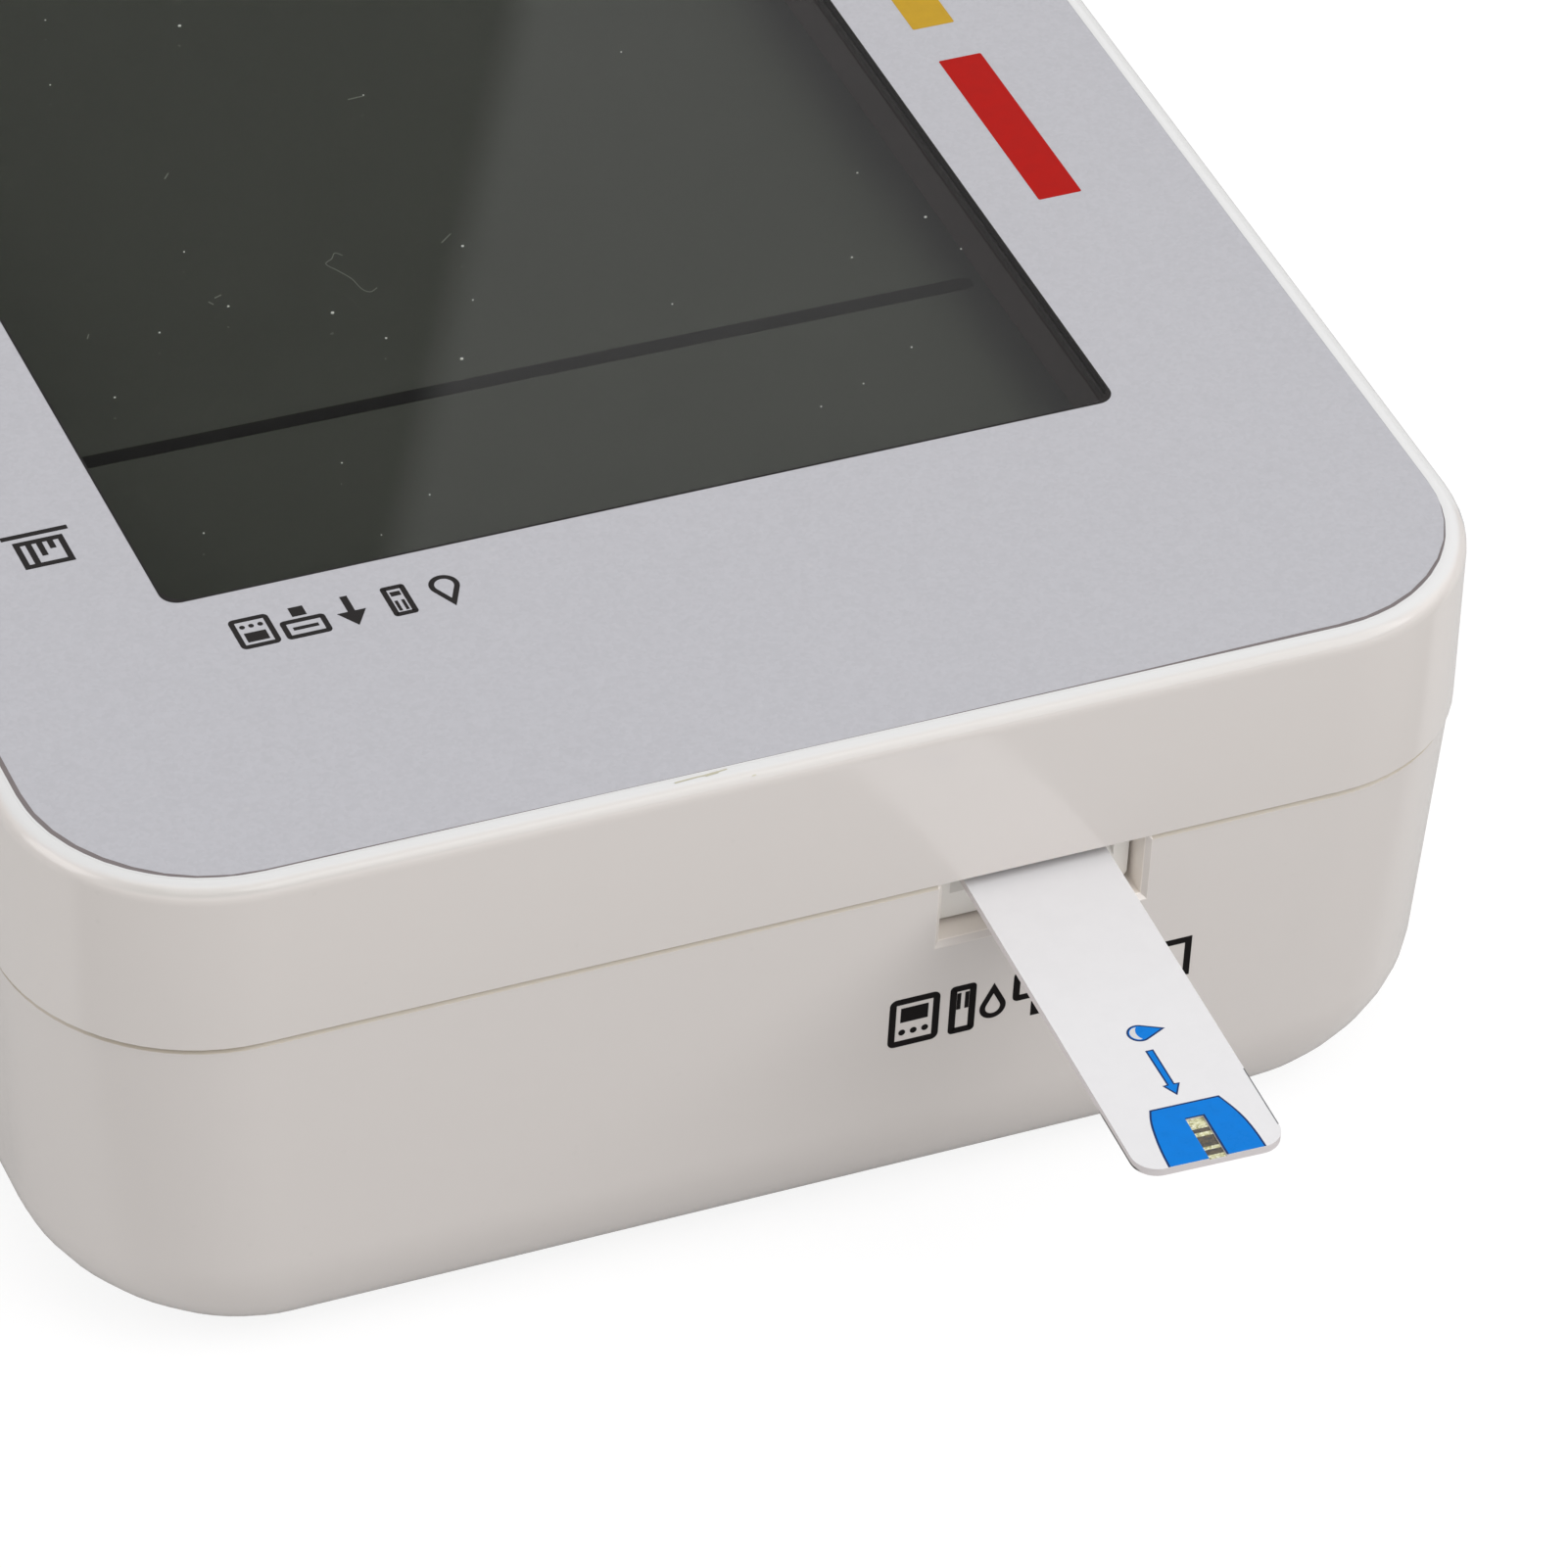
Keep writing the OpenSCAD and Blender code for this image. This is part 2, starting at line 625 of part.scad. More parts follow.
module window_gasket() {
    at = [window_shift, window_y];
    color("black") difference() {
        plate(bezel_w, bezel_l, window_r + bezel_wall, gasket_z, lens_lip_z, at);
        plate(window_w, window_l, window_r, gasket_z - 1, lens_lip_z + 1, at);
    }
}

module lcd_frame() {
    at = [window_shift, window_y];
    mid = [window_shift, frame_y];
    pocket_w = glass_w + 2*glass_gap;
    pocket_l = glass_l + ledge_w + 2*glass_gap;
    color("dimgray") {
        difference() {
            union() {
                plate(bezel_w, bezel_l, window_r + bezel_wall, cell_z, gasket_z, at);
                plate(frame_w, frame_l, frame_wall, skirt_z, frame_top, mid);
            }
            plate(window_w, window_l, window_r, cell_z - 1, gasket_z + 1, at);
            plate(pocket_w, pocket_l, 0.4, skirt_z - 1, cell_z, mid);
        }
        // snap ledges under the cell
        for (x = [-1, 1]) for (y = [-1, 1])
            translate([window_shift + x*pocket_w/2, window_y + y*window_l/4, skirt_z])
                translate([-1.2, -2, 0]) cube([2.4, 4, back_film_z - skirt_z]);
        // wall that guides the rubber contact strip
        box(window_shift - pocket_w/2 - eps, window_shift + pocket_w/2 + eps,
            glass_key_y + 0.6, glass_key_y + 1.6, board_z + 0.3, back_film_z);
        // legs with pins through the board
        for (x = [-1, 1]) for (y = [-1, 1])
            translate([window_shift + x*(frame_w/2 - leg_w/2), frame_y + y*(frame_l/2 - leg_w), 0]) {
                translate([-leg_w/2, -leg_w/2, board_z])
                    cube([leg_w, leg_w, skirt_z + 0.6 - board_z]);
                translate([0, 0, board_under - 0.6])
                    cylinder(d = frame_pin_d, h = board_t + 1.6);
            }
    }
}

module lcd_front_film() {
    color("darkolivegreen") plate(glass_w - 1, glass_l - 1, 0.4, cell_z - film_t, cell_z,
                                  [window_shift, window_y]);
}

module lcd_front_glass() {
    color("darkseagreen") plate(glass_w, glass_l + ledge_w, 0.3, front_glass_z,
                                front_glass_z + glass_t, [window_shift, frame_y]);
}

module lcd_back_glass() {
    color("darkseagreen") plate(glass_w, glass_l, 0.3, back_glass_z, front_glass_z,
                                [window_shift, window_y]);
}

module lcd_back_film() {
    color("gray") plate(glass_w - 1, glass_l - 1, 0.4, back_film_z, back_glass_z,
                        [window_shift, window_y]);
}

module zebra_strip() {
    y1 = glass_key_y - 0.25;
    color("darkslategray")
        box(window_shift - zebra_l/2, window_shift + zebra_l/2, y1 - zebra_t, y1, board_z, front_glass_z);
}

module main_board() {
    color("seagreen") difference() {
        plate(board_w, board_l, board_r, board_under, board_z);
        four(screw_x, screw_y) translate([0, 0, board_under - 1])
            cylinder(d = screw_d + 0.6, h = board_t + 2);
        for (x = [-1, 1]) for (y = [-1, 1])
            translate([window_shift + x*(frame_w/2 - leg_w/2), frame_y + y*(frame_l/2 - leg_w),
                       board_under - 1])
                cylinder(d = frame_pin_d + 0.1, h = board_t + 2);
        for (x = [-cell_x, cell_x])
            box(x - tail_w/2 - 0.1, x + tail_w/2 + 0.1, bay_y1 - contact_plate_t - 0.1, bay_y1 + 0.1,
                board_under - 1, board_z + 1);
    }
}

module microcontroller() {
    chip_h = 1.4;
    leg = 0.4;
    pitch = (chip_w - 1)/chip_legs;
    translate([chip_at.x, chip_at.y, board_z]) {
        color("#202224") translate([-chip_w/2, -chip_w/2, 0.1]) cube([chip_w, chip_w, chip_h]);
        color("silver") for (q = [0:3]) rotate(90*q) for (i = [0:chip_legs - 1])
            translate([(i - (chip_legs - 1)/2)*pitch - leg/2, chip_w/2 - eps, 0]) {
                translate([0, 0, 0.5]) cube([leg, 0.6, 0.2]);
                translate([0, 0.4, 0]) cube([leg, 0.2, 0.7]);
                translate([0, 0.4, 0]) cube([leg, 0.8, 0.2]);
            }
    }
}

module board_parts() {
    // crystal in its can
    color("silver") translate([crystal_at.x, crystal_at.y, board_z])
        plate(crystal_l, crystal_w, crystal_w*0.48, 0, crystal_h);
    // two round capacitors
    color("slategray") for (i = [0, 1])
        translate([capacitor_at.x, capacitor_at.y + 1.8*i*capacitor_d, board_z])
            cylinder(d = capacitor_d, h = capacitor_h);
    // rows of small resistors
    color("#c8b78a") for (i = [0:5]) for (j = [0, 1])
        translate([resistor_at.x + 1.6*i*resistor_l, resistor_at.y + 2.5*j*resistor_l, board_z])
            translate([-0.3*resistor_l, -resistor_l/2, 0])
                cube([0.6*resistor_l, resistor_l, 0.3*resistor_l]);
}

module buzzer() {
    color("#202224") translate([buzzer_at.x, buzzer_at.y, board_under - buzzer_h]) difference() {
        cylinder(d = buzzer_d, h = buzzer_h);
        translate([0, 0, -1]) cylinder(d = 2, h = 2.5);
    }
}

module tact_switches() {
    for (x = KEY_X) translate([x, key_y, board_z]) {
        color("#202224") difference() {
            translate([-switch_w/2, -switch_w/2, 0]) cube([switch_w, switch_w, switch_h - 0.3]);
            translate([0, 0, switch_h - 1 - key_travel])
                cylinder(d = plunger_d + 2*plunger_gap, h = switch_h);
        }
        color("silver") difference() {
            translate([-switch_w/2, -switch_w/2, switch_h - 0.3]) cube([switch_w, switch_w, 0.3]);
            translate([0, 0, -1]) cylinder(d = plunger_d + 2*plunger_gap, h = switch_h + 2);
        }
    }
}

module strip_connector() {
    slot_x = slot_w/2;
    lead_l = 0.7;        // length of the lead-in for the strip
    lead_side = 0.05;    // how much it widens, and how far its floor drops
    lead_drop = 0.85;
    color("ivory") translate([-port_x, 0, 0]) {
        difference() {
            union() {
                box(-socket_w/2, socket_w/2, socket_back, socket_y, board_z, socket_top + 0.7);
                along_y(socket_y - 0.5, nose_y) {
                    translate([-nose_w/2 + nose_r, nose_z]) square([nose_w - 2*nose_r, part_z - nose_gap/2 - nose_z]);
                    translate([-nose_w/2, nose_z + nose_r]) square([nose_w, part_z - nose_gap/2 - nose_z - nose_r]);
                    for (x = [-1, 1]) translate([x*(nose_w/2 - nose_r), nose_z + nose_r]) circle(nose_r);
                }
            }
            box(-slot_x, slot_x, socket_back - 1, nose_y + 1, slot_z, socket_top);
            hull() {
                box(-slot_x, slot_x, nose_y - lead_l - 0.05, nose_y - lead_l, slot_z, socket_top);
                box(-slot_x - lead_side, slot_x + lead_side, nose_y, nose_y + 0.1,
                    slot_z - lead_drop, socket_top);
            }
        }
        // stop for the strip's end
        box(-slot_x - eps, slot_x + eps, wall_y - strip_in - 1.1, wall_y - strip_in - 0.3,
            slot_z - eps, base_z + strip_t);
    }
}

// A band of thickness t along a list of points
module band(path, t) {
    for (i = [0:len(path) - 2])
        let (d = path[i + 1] - path[i])
        translate(path[i]) rotate(atan2(d.y, d.x)) translate([0, -t/2]) square([norm(d), t]);
    for (i = [1:len(path) - 2]) translate(path[i]) circle(d = t, $fn = 24);
}

module strip_contacts() {
    foot = board_z + contact_t/2;
    high = socket_top - contact_t/2 - 0.1;
    touch = cover_z + 0.1 + contact_t/2;
    back = socket_back - 0.4;
    path = [[back - 1.6, foot], [back, foot], [back, high], [back + 4.2, high - 0.2],
            [back + 5.6, touch], [back + 6.2, touch], [back + 7.4, high - 0.3]];
    color("gold") for (i = [0:contact_count - 1])
        let (x = -port_x + (i - (contact_count - 1)/2)*contact_pitch)
        along_x(x - contact_w/2, x + contact_w/2) band(path, contact_t);
}

// The strip's own place: its middle line, askew about the middle of the port's mouth
module strip_place() {
    translate([-port_x + strip_shift, wall_y, 0]) rotate(-strip_skew) children();
}

module strip_outline(y0) {
    translate([-strip_w/2, y0]) square([strip_w, strip_out - strip_r - y0]);
    translate([-strip_w/2 + strip_r, y0]) square([strip_w - 2*strip_r, strip_out - y0]);
    for (x = [-1, 1]) translate([x*(strip_w/2 - strip_r), strip_out - strip_r]) circle(strip_r);
}

module strip_base() {
    color("white") strip_place() translate([0, 0, base_z])
        linear_extrude(strip_t) strip_outline(-strip_in);
}

module strip_cover() {
    color("aliceblue") strip_place() translate([0, 0, cover_z]) linear_extrude(cover_t) difference() {
        strip_outline(-strip_shoulder);
        translate([-view_shift - view_w/2, strip_out - view_l]) square([view_w, view_l + 1]);
    }
}

module strip_electrodes() {
    track_t = 0.03;
    bands = [[0.625, 0.35], [1.2, 0.69], [2.16, 0.25]];   // distance from the free end, and length
    color("goldenrod") strip_place() translate([0, 0, cover_z]) linear_extrude(track_t) {
        for (i = [0:contact_count - 1])
            translate([(i - (contact_count - 1)/2)*contact_pitch - 0.5, -strip_in + 0.2])
                square([1, strip_in - strip_shoulder - 0.3]);
        for (b = bands)
            translate([-view_shift - view_w/2 + 0.02, strip_out - b[0] - b[1]])
                square([view_w - 0.04, b[1]]);
    }
}

// One key cap: crowned disc, skirt with its flange, and the stem inside
module key_cap(d) {
    r = d/2;
    crown_r = (r*r + key_crown*key_crown)/(2*key_crown);
    side_top = key_top - key_crown - key_edge;
    flange_z = flange_top - key_flange_t;
    crown = [for (i = [0:8]) let (x = (r - key_edge)*i/8)
        [x, key_top - crown_r + sqrt(crown_r*crown_r - x*x)]];
    edge_z = crown[8].y - key_edge;
    edge = [for (a = [75:-15:0]) [r - key_edge + key_edge*cos(a), edge_z + key_edge*sin(a)]];
    outline = concat(crown, edge,
        [[r, flange_top], [r + key_flange_w, flange_top], [r + key_flange_w, flange_z],
         [r - key_wall, flange_z], [r - key_wall, side_top - key_wall],
         [stem_d/2, side_top - key_wall], [stem_d/2, plunger_top], [0, plunger_top]]);
    rotate_extrude() polygon(outline);
}

module key_at(i) {
    color("gainsboro") translate([KEY_X[i], key_y, 0]) key_cap(KEY_D[i]);
}

module plunger_at(i) {
    color("#202224") translate([KEY_X[i], key_y, plunger_end])
        cylinder(d = plunger_d, h = plunger_top - plunger_end);
}

module main_key() { key_at(0); }
module main_plunger() { plunger_at(0); }
module left_key() { key_at(1); }
module left_plunger() { plunger_at(1); }
module right_key() { key_at(2); }
module right_plunger() { plunger_at(2); }

// The door's section along the meter: flat plate, curve and upturned end
function door_section() =
    let (steps = 10,
         start = acos(1 - door_back/curve_h),
         reach = end_y - door_t + bay_y0 - bay_wall - 0.3,
         out = [for (i = [0:steps]) let (z = curve_h*(1 - cos(start + (90 - start)*i/steps)))
               [-low_y(z), z]],
         in = [for (i = [steps:-1:0]) let (a = 90*i/steps)
               [-(end_y - door_t - reach*(1 - sin(a))), door_top + (curve_h - door_top)*(1 - cos(a))]])
    concat([[door_y1, door_back]], out, [[-end_y, door_end_h], [-end_y + door_t, door_end_h]], in,
           [[door_y1, door_top]]);

module battery_door() {
    grip_y = bay_y0 + 4;
    grip_l = grip_count*grip_pitch + 1;
    color("white") {
        difference() {
            along_x(-door_half, door_half) polygon(door_section());
            box(-7, 7, grip_y, grip_y + grip_l, -1, door_back + grip_depth);
            // arrow that shows which way the door opens
            translate([0, grip_y + grip_l + 7, -1])
                linear_extrude(door_back + 0.25 + 1) polygon([[-3.5, 0], [3.5, 0], [0, -4.5]]);
        }
        for (i = [0:grip_count - 1])
            translate([0, grip_y + 1 + i*grip_pitch, door_back + 0.05])
                translate([-6, 0, 0]) cube([12, 0.7, grip_depth + 0.2]);
        for (m = [0, 1]) mirror([m, 0, 0]) for (y = HOOK_Y) {
            box(hook_x - 1.2, hook_x, y - hook_l/2, y + hook_l/2, door_top - 0.5, hook_z + hook_t);
            box(hook_x - 1.2, hook_x + 1.6, y - hook_l/2, y + hook_l/2, hook_z, hook_z + hook_t);
        }
    }
}

module cell() {
    r = cell_d/2;
    body_l = cell_l - button_h;
    bead = 0.5;
    rotate([-90, 0, 0]) rotate_extrude() polygon([
        [0, 0], [r - bead, 0], [r, bead],
        [r, body_l - bead], [r - bead, body_l], [button_d/2, body_l],
        [button_d/2, cell_l - 0.2], [button_d/2 - 0.2, cell_l], [0, cell_l]]);
}

module battery_cells() {
    color("goldenrod") {
        translate([-cell_x, bay_y0 + contact_plate_t + spring_l, cell_mid]) cell();
        translate([cell_x, bay_y1 - contact_plate_t - spring_l, cell_mid]) mirror([0, 1, 0]) cell();
    }
}

// A conical spring along +Y: wide at its plate, narrow at the cell
module contact_spring() {
    ring_count = 12*spring_turns;
    sides = 6;
    wide = contact_plate_w/2 - 0.6;
    narrow = 2.2;
    rise = spring_l - spring_wire;
    pts = [for (i = [0:ring_count]) let (k = i/ring_count, a = 360*spring_turns*k,
                                         r = wide + (narrow - wide)*k)
        for (j = [0:sides - 1]) let (b = 360*j/sides, q = r + spring_wire/2*cos(b))
            [q*cos(a), spring_wire/2 + rise*k + spring_wire/2*sin(b), q*sin(a)]];
    n = len(pts);
    skin = [for (i = [0:ring_count - 1]) for (j = [0:sides - 1]) let (m = (j + 1)%sides)
        [i*sides + j, i*sides + m, (i + 1)*sides + m, (i + 1)*sides + j]];
    first = [for (j = [sides - 1:-1:0]) j];
    last = [for (j = [0:sides - 1]) n - sides + j];
    polyhedron(points = pts, faces = concat(skin, [first], [last]), convexity = 10);
}

module battery_springs() {
    color("silver") {
        translate([-cell_x, bay_y0 + contact_plate_t, cell_mid]) contact_spring();
        translate([cell_x, bay_y1 - contact_plate_t, cell_mid]) rotate([0, 0, 180]) contact_spring();
    }
}

module battery_plates() {
    half = contact_plate_w/2;
    color("silver") {
        // the two plates with tails, at the port end
        for (x = [-cell_x, cell_x]) {
            box(x - half, x + half, bay_y1 - contact_plate_t, bay_y1, cell_mid - half, cell_mid + half);
            box(x - tail_w/2, x + tail_w/2, bay_y1 - contact_plate_t, bay_y1,
                cell_mid, board_z + 0.6);
        }
        translate([-cell_x, bay_y1 - contact_plate_t + eps, cell_mid]) rotate([90, 0, 0])
            cylinder(d1 = 4, d2 = 2.6, h = dimple_h + eps);
        // the bridge between the cells, at the key end
        box(-cell_x - half, cell_x + half, bay_y0, bay_y0 + contact_plate_t,
            cell_mid - half, cell_mid + half);
        translate([cell_x, bay_y0 + contact_plate_t - eps, cell_mid]) rotate([-90, 0, 0])
            cylinder(d1 = 4, d2 = 2.6, h = dimple_h + eps);
    }
}

module housing_screws() {
    slot = 0.5;
    color("silver") four(screw_x, screw_y) difference() {
        union() {
            translate([0, 0, seat_z - head_h]) cylinder(d = head_d, h = head_h);
            translate([0, 0, seat_z - eps]) cylinder(d = screw_d, h = screw_l + eps);
        }
        for (a = [0, 90]) rotate(a)
            translate([-head_d/3, -slot/2, seat_z - head_h - 1]) cube([head_d*2/3, slot, 1.8]);
    }
}

top_shell();
bottom_shell();
face_panel();
display_window();
window_gasket();
lcd_frame();
lcd_front_film();
lcd_front_glass();
lcd_back_glass();
lcd_back_film();
zebra_strip();
main_board();
microcontroller();
board_parts();
buzzer();
tact_switches();
strip_connector();
strip_contacts();
strip_base();
strip_cover();
strip_electrodes();
main_key();
main_plunger();
left_key();
left_plunger();
right_key();
right_plunger();
battery_door();
battery_cells();
battery_springs();
battery_plates();
housing_screws();
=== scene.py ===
import math

import bmesh
import bpy
from mathutils import Matrix, Vector


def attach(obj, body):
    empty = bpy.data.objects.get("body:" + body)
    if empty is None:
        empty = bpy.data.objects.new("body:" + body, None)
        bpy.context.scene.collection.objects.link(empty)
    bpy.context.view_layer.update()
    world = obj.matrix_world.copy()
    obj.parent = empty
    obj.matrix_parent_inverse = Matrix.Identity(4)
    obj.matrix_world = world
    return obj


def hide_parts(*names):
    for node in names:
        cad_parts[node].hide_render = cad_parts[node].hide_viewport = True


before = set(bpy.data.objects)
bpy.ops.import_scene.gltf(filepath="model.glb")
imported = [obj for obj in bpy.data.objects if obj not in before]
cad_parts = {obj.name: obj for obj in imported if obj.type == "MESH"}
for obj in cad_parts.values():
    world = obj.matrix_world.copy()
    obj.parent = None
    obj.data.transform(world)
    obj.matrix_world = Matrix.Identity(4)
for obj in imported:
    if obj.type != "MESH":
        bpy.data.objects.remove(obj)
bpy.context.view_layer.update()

MM = 0.001

# -------- heights and places, in millimetres
PANEL_Z = 29.1               # top of the front panel and of the window
CELL_Z = 24.9                # top of the display's front film
WALL_Y = 60.98               # outer face of the lower shell's port end
WINDOW_X = (-23.67, 24.09)
WINDOW_Y = (-27.24, 40.76)
WINDOW_R = 1.2
PORT_X = -11.75              # middle of the port
PORT_HALF = 5.125            # half its width
PORT_FLOOR_Z = 16.37
PORT_EDGE = 0.25             # how far its edge is broken
STRIP_X = -11.4              # middle of the strip at the port's mouth
STRIP_Y = 61.08
STRIP_TOP = 19.45            # top of the strip's cover film
STRIP_CUT_Z = 19.35          # top of its base film, seen in the cut
STRIP_SKEW = 1.75            # degrees
SEAM_Z = 19.87               # parting line between the two shells
KEY_Y = -44.0
CELLS_Y = -29.9              # middle of the battery cells
KEY_TOP = 30.0
KEY_CROWN = 0.35             # how far a key's top rises from its edge to its middle
INK = 0.012                  # thickness of printing


# -------- node helpers
class Nodes:
    """A short way to build a node tree: every method adds a node and returns its output."""

    def __init__(self, tree):
        self.tree = tree

    def add(self, kind, values=None, **settings):
        node = self.tree.nodes.new(kind)
        for key, value in settings.items():
            setattr(node, key, value)
        for key, value in (values or {}).items():
            self.feed(node.inputs[key], value)
        return node

    def feed(self, socket, value):
        if isinstance(value, bpy.types.NodeSocket):
            self.tree.links.new(value, socket)
        elif socket.type == "VECTOR":
            socket.default_value = value[:3]
        else:
            socket.default_value = value

    def math(self, operation, a, b=0.0, clamp=False):
        return self.add("ShaderNodeMath", {0: a, 1: b}, operation=operation,
                        use_clamp=clamp).outputs[0]

    def blend(self, factor, a, b, mode="MIX"):
        node = self.add("ShaderNodeMix", data_type="RGBA", blend_type=mode)
        self.feed(node.inputs[0], factor)
        self.feed(node.inputs[6], a)
        self.feed(node.inputs[7], b)
        return node.outputs[2]

    def both(self, *masks):
        """The product of these masks."""
        product = masks[0]
        for mask in masks[1:]:
            product = self.math("MULTIPLY", product, mask)
        return product

    def span(self, value, low, high, to_low=0.0, to_high=1.0, smooth=True):
        kind = "SMOOTHSTEP" if smooth else "LINEAR"
        node = self.add("ShaderNodeMapRange", {0: value, 1: low, 2: high, 3: to_low, 4: to_high},
                        interpolation_type=kind)
        return node.outputs[0]

    def ramp(self, value, low, high):
        """A soft rise from 0 at low to 1 at high, both in millimetres, or a fall if low is more."""
        return self.span(value, low*MM, high*MM)

    def place(self):
        return self.add("ShaderNodeTexCoord").outputs["Object"]

    def noise(self, where, scale, detail=3.0, roughness=0.5):
        return self.add("ShaderNodeTexNoise", {"Vector": where, "Scale": scale, "Detail": detail,
                                               "Roughness": roughness}).outputs["Fac"]

    def cells(self, where, scale, output="Distance", feature="F1"):
        return self.add("ShaderNodeTexVoronoi", {"Vector": where, "Scale": scale},
                        feature=feature).outputs[output]

    def axes(self, where):
        return self.add("ShaderNodeSeparateXYZ", {0: where}).outputs

    def upright(self):
        """1 on faces that stand upright and 0 on level ones."""
        normal = self.axes(self.add("ShaderNodeTexCoord").outputs["Normal"])[2]
        return self.span(self.math("ABSOLUTE", normal), 0.7, 0.3)


def rgba(r, g, b):
    return (r, g, b, 1.0)


def effect(name, inputs, outputs):
    """An empty shader node group with named inputs and outputs."""
    group = bpy.data.node_groups.new(name, "ShaderNodeTree")
    for label, kind, value in inputs:
        socket = group.interface.new_socket(label, in_out="INPUT", socket_type=kind)
        if value is not None:
            socket.default_value = value
    for label, kind in outputs:
        group.interface.new_socket(label, in_out="OUTPUT", socket_type=kind)
    nodes = Nodes(group)
    start = group.nodes.new("NodeGroupInput").outputs
    end = group.nodes.new("NodeGroupOutput").inputs
    return group, nodes, start, end


# -------- shared surface effects
def make_moulded_skin():
    """Spark-eroded mould texture with slow tone changes and faint sink marks."""
    group, n, start, end = effect(
        "moulded_skin",
        [("Colour", "NodeSocketColor", rgba(0.8, 0.8, 0.8)), ("Grain", "NodeSocketFloat", 2600.0),
         ("Tone", "NodeSocketFloat", 0.03), ("Gloss", "NodeSocketFloat", 0.35)],
        [("Colour", "NodeSocketColor"), ("Roughness", "NodeSocketFloat"),
         ("Height", "NodeSocketFloat")])
    where = n.place()
    slow = n.noise(where, 38.0, 2.0)
    fine = n.noise(where, start["Grain"], 4.0, 0.6)
    pits = n.cells(where, start["Grain"])
    grain = n.math("ADD", n.math("MULTIPLY", fine, 0.7), n.math("MULTIPLY", pits, 0.5))
    tone = n.math("MULTIPLY", n.math("SUBTRACT", slow, 0.5), start["Tone"])
    tone = n.math("ADD", tone, n.math("MULTIPLY", n.math("SUBTRACT", fine, 0.5),
                                      n.math("MULTIPLY", start["Tone"], 0.3)))
    shade = n.math("ADD", tone, 1.0)
    shaded = n.add("ShaderNodeVectorMath", {0: start["Colour"], 1: shade}, operation="MULTIPLY")
    n.feed(end["Colour"], shaded.outputs[0])
    rough = n.math("ADD", start["Gloss"], n.math("MULTIPLY", n.math("SUBTRACT", grain, 0.5), 0.06))
    n.feed(end["Roughness"], n.math("MULTIPLY", rough, 1.0, clamp=True))
    n.feed(end["Height"], grain)
    return group


def make_handling():
    """Greasy smears and hairline scuffs that handling leaves: a mask and a roughness change."""
    group, n, start, end = effect(
        "handling_marks",
        [("Amount", "NodeSocketFloat", 0.5), ("Stretch", "NodeSocketFloat", 9.0)],
        [("Smear", "NodeSocketFloat"), ("Scuff", "NodeSocketFloat")])
    where = n.place()
    smear = n.span(n.noise(where, 95.0, 3.0, 0.55), 0.52, 0.72)
    turned = n.add("ShaderNodeMapping", {"Vector": where, "Rotation": (0.3, 0.5, 0.9)})
    long_way = n.add("ShaderNodeCombineXYZ", {0: 1.0, 1: start["Stretch"], 2: start["Stretch"]})
    drawn = n.add("ShaderNodeVectorMath", {0: turned.outputs[0], 1: long_way.outputs[0]},
                  operation="MULTIPLY")
    scuff = n.span(n.noise(drawn.outputs[0], 260.0, 5.0, 0.7), 0.69, 0.76)
    n.feed(end["Smear"], n.math("MULTIPLY", smear, start["Amount"]))
    n.feed(end["Scuff"], n.math("MULTIPLY", scuff, start["Amount"]))
    return group


def make_dust():
    """Fine settled dust: sparse soft specks, as a mask."""
    group, n, start, end = effect(
        "settled_dust",
        [("Specks", "NodeSocketFloat", 900.0), ("Share", "NodeSocketFloat", 0.5)],
        [("Dust", "NodeSocketFloat")])
    where = n.place()
    speck = n.span(n.cells(where, start["Specks"]), 0.16, 0.06)
    patch = n.span(n.noise(where, 420.0, 2.0), 0.55, 0.68)
    n.feed(end["Dust"], n.both(speck, patch, start["Share"]))
    return group


def make_flakes():
    """Metal flakes in silver paint: a brightness for each flake and a tiny tilt."""
    group, n, start, end = effect(
        "paint_flakes",
        [("Size", "NodeSocketFloat", 7000.0), ("Sparkle", "NodeSocketFloat", 0.1)],
        [("Shade", "NodeSocketFloat"), ("Height", "NodeSocketFloat")])
    where = n.place()
    flake = n.add("ShaderNodeSeparateColor", {0: n.cells(where, start["Size"], "Color")})
    coarse = n.noise(where, 1500.0, 3.0, 0.6)
    mixed = n.math("ADD", n.math("SUBTRACT", flake.outputs[0], 0.5),
                   n.math("MULTIPLY", n.math("SUBTRACT", coarse, 0.5), 1.3))
    n.feed(end["Shade"], n.math("ADD", n.math("MULTIPLY", mixed, start["Sparkle"]), 1.0))
    n.feed(end["Height"], flake.outputs[1])
    return group


def make_brushing():
    """Drawn-metal lines along Y: roughness and height."""
    group, n, start, end = effect(
        "drawn_lines",
        [("Pitch", "NodeSocketFloat", 3000.0)],
        [("Line", "NodeSocketFloat")])
    where = n.axes(n.place())
    squeezed = n.add("ShaderNodeCombineXYZ", {0: where[0], 1: n.math("MULTIPLY", where[1], 0.03),
                                              2: where[2]})
    n.feed(end["Line"], n.noise(squeezed.outputs[0], start["Pitch"], 3.0, 0.7))
    return group


SKIN = make_moulded_skin()
HANDLING = make_handling()
DUST = make_dust()
FLAKES = make_flakes()
BRUSHING = make_brushing()


def use(n, group, **values):
    node = n.add("ShaderNodeGroup", node_tree=group)
    for key, value in values.items():
        n.feed(node.inputs[key], value)
    return node.outputs


def begin(name, **sockets):
    """A new material: its node helper and its Principled shader."""
    material = bpy.data.materials.new(name)
    material.use_nodes = True
    n = Nodes(material.node_tree)
    shader = material.node_tree.nodes["Principled BSDF"]
    for key, value in sockets.items():
        shader.inputs[key.replace("_", " ")].default_value = value
    return material, n, shader


def coat(n, shader, colour, roughness):
    n.feed(shader.inputs["Base Color"], colour)
    n.feed(shader.inputs["Roughness"], roughness)


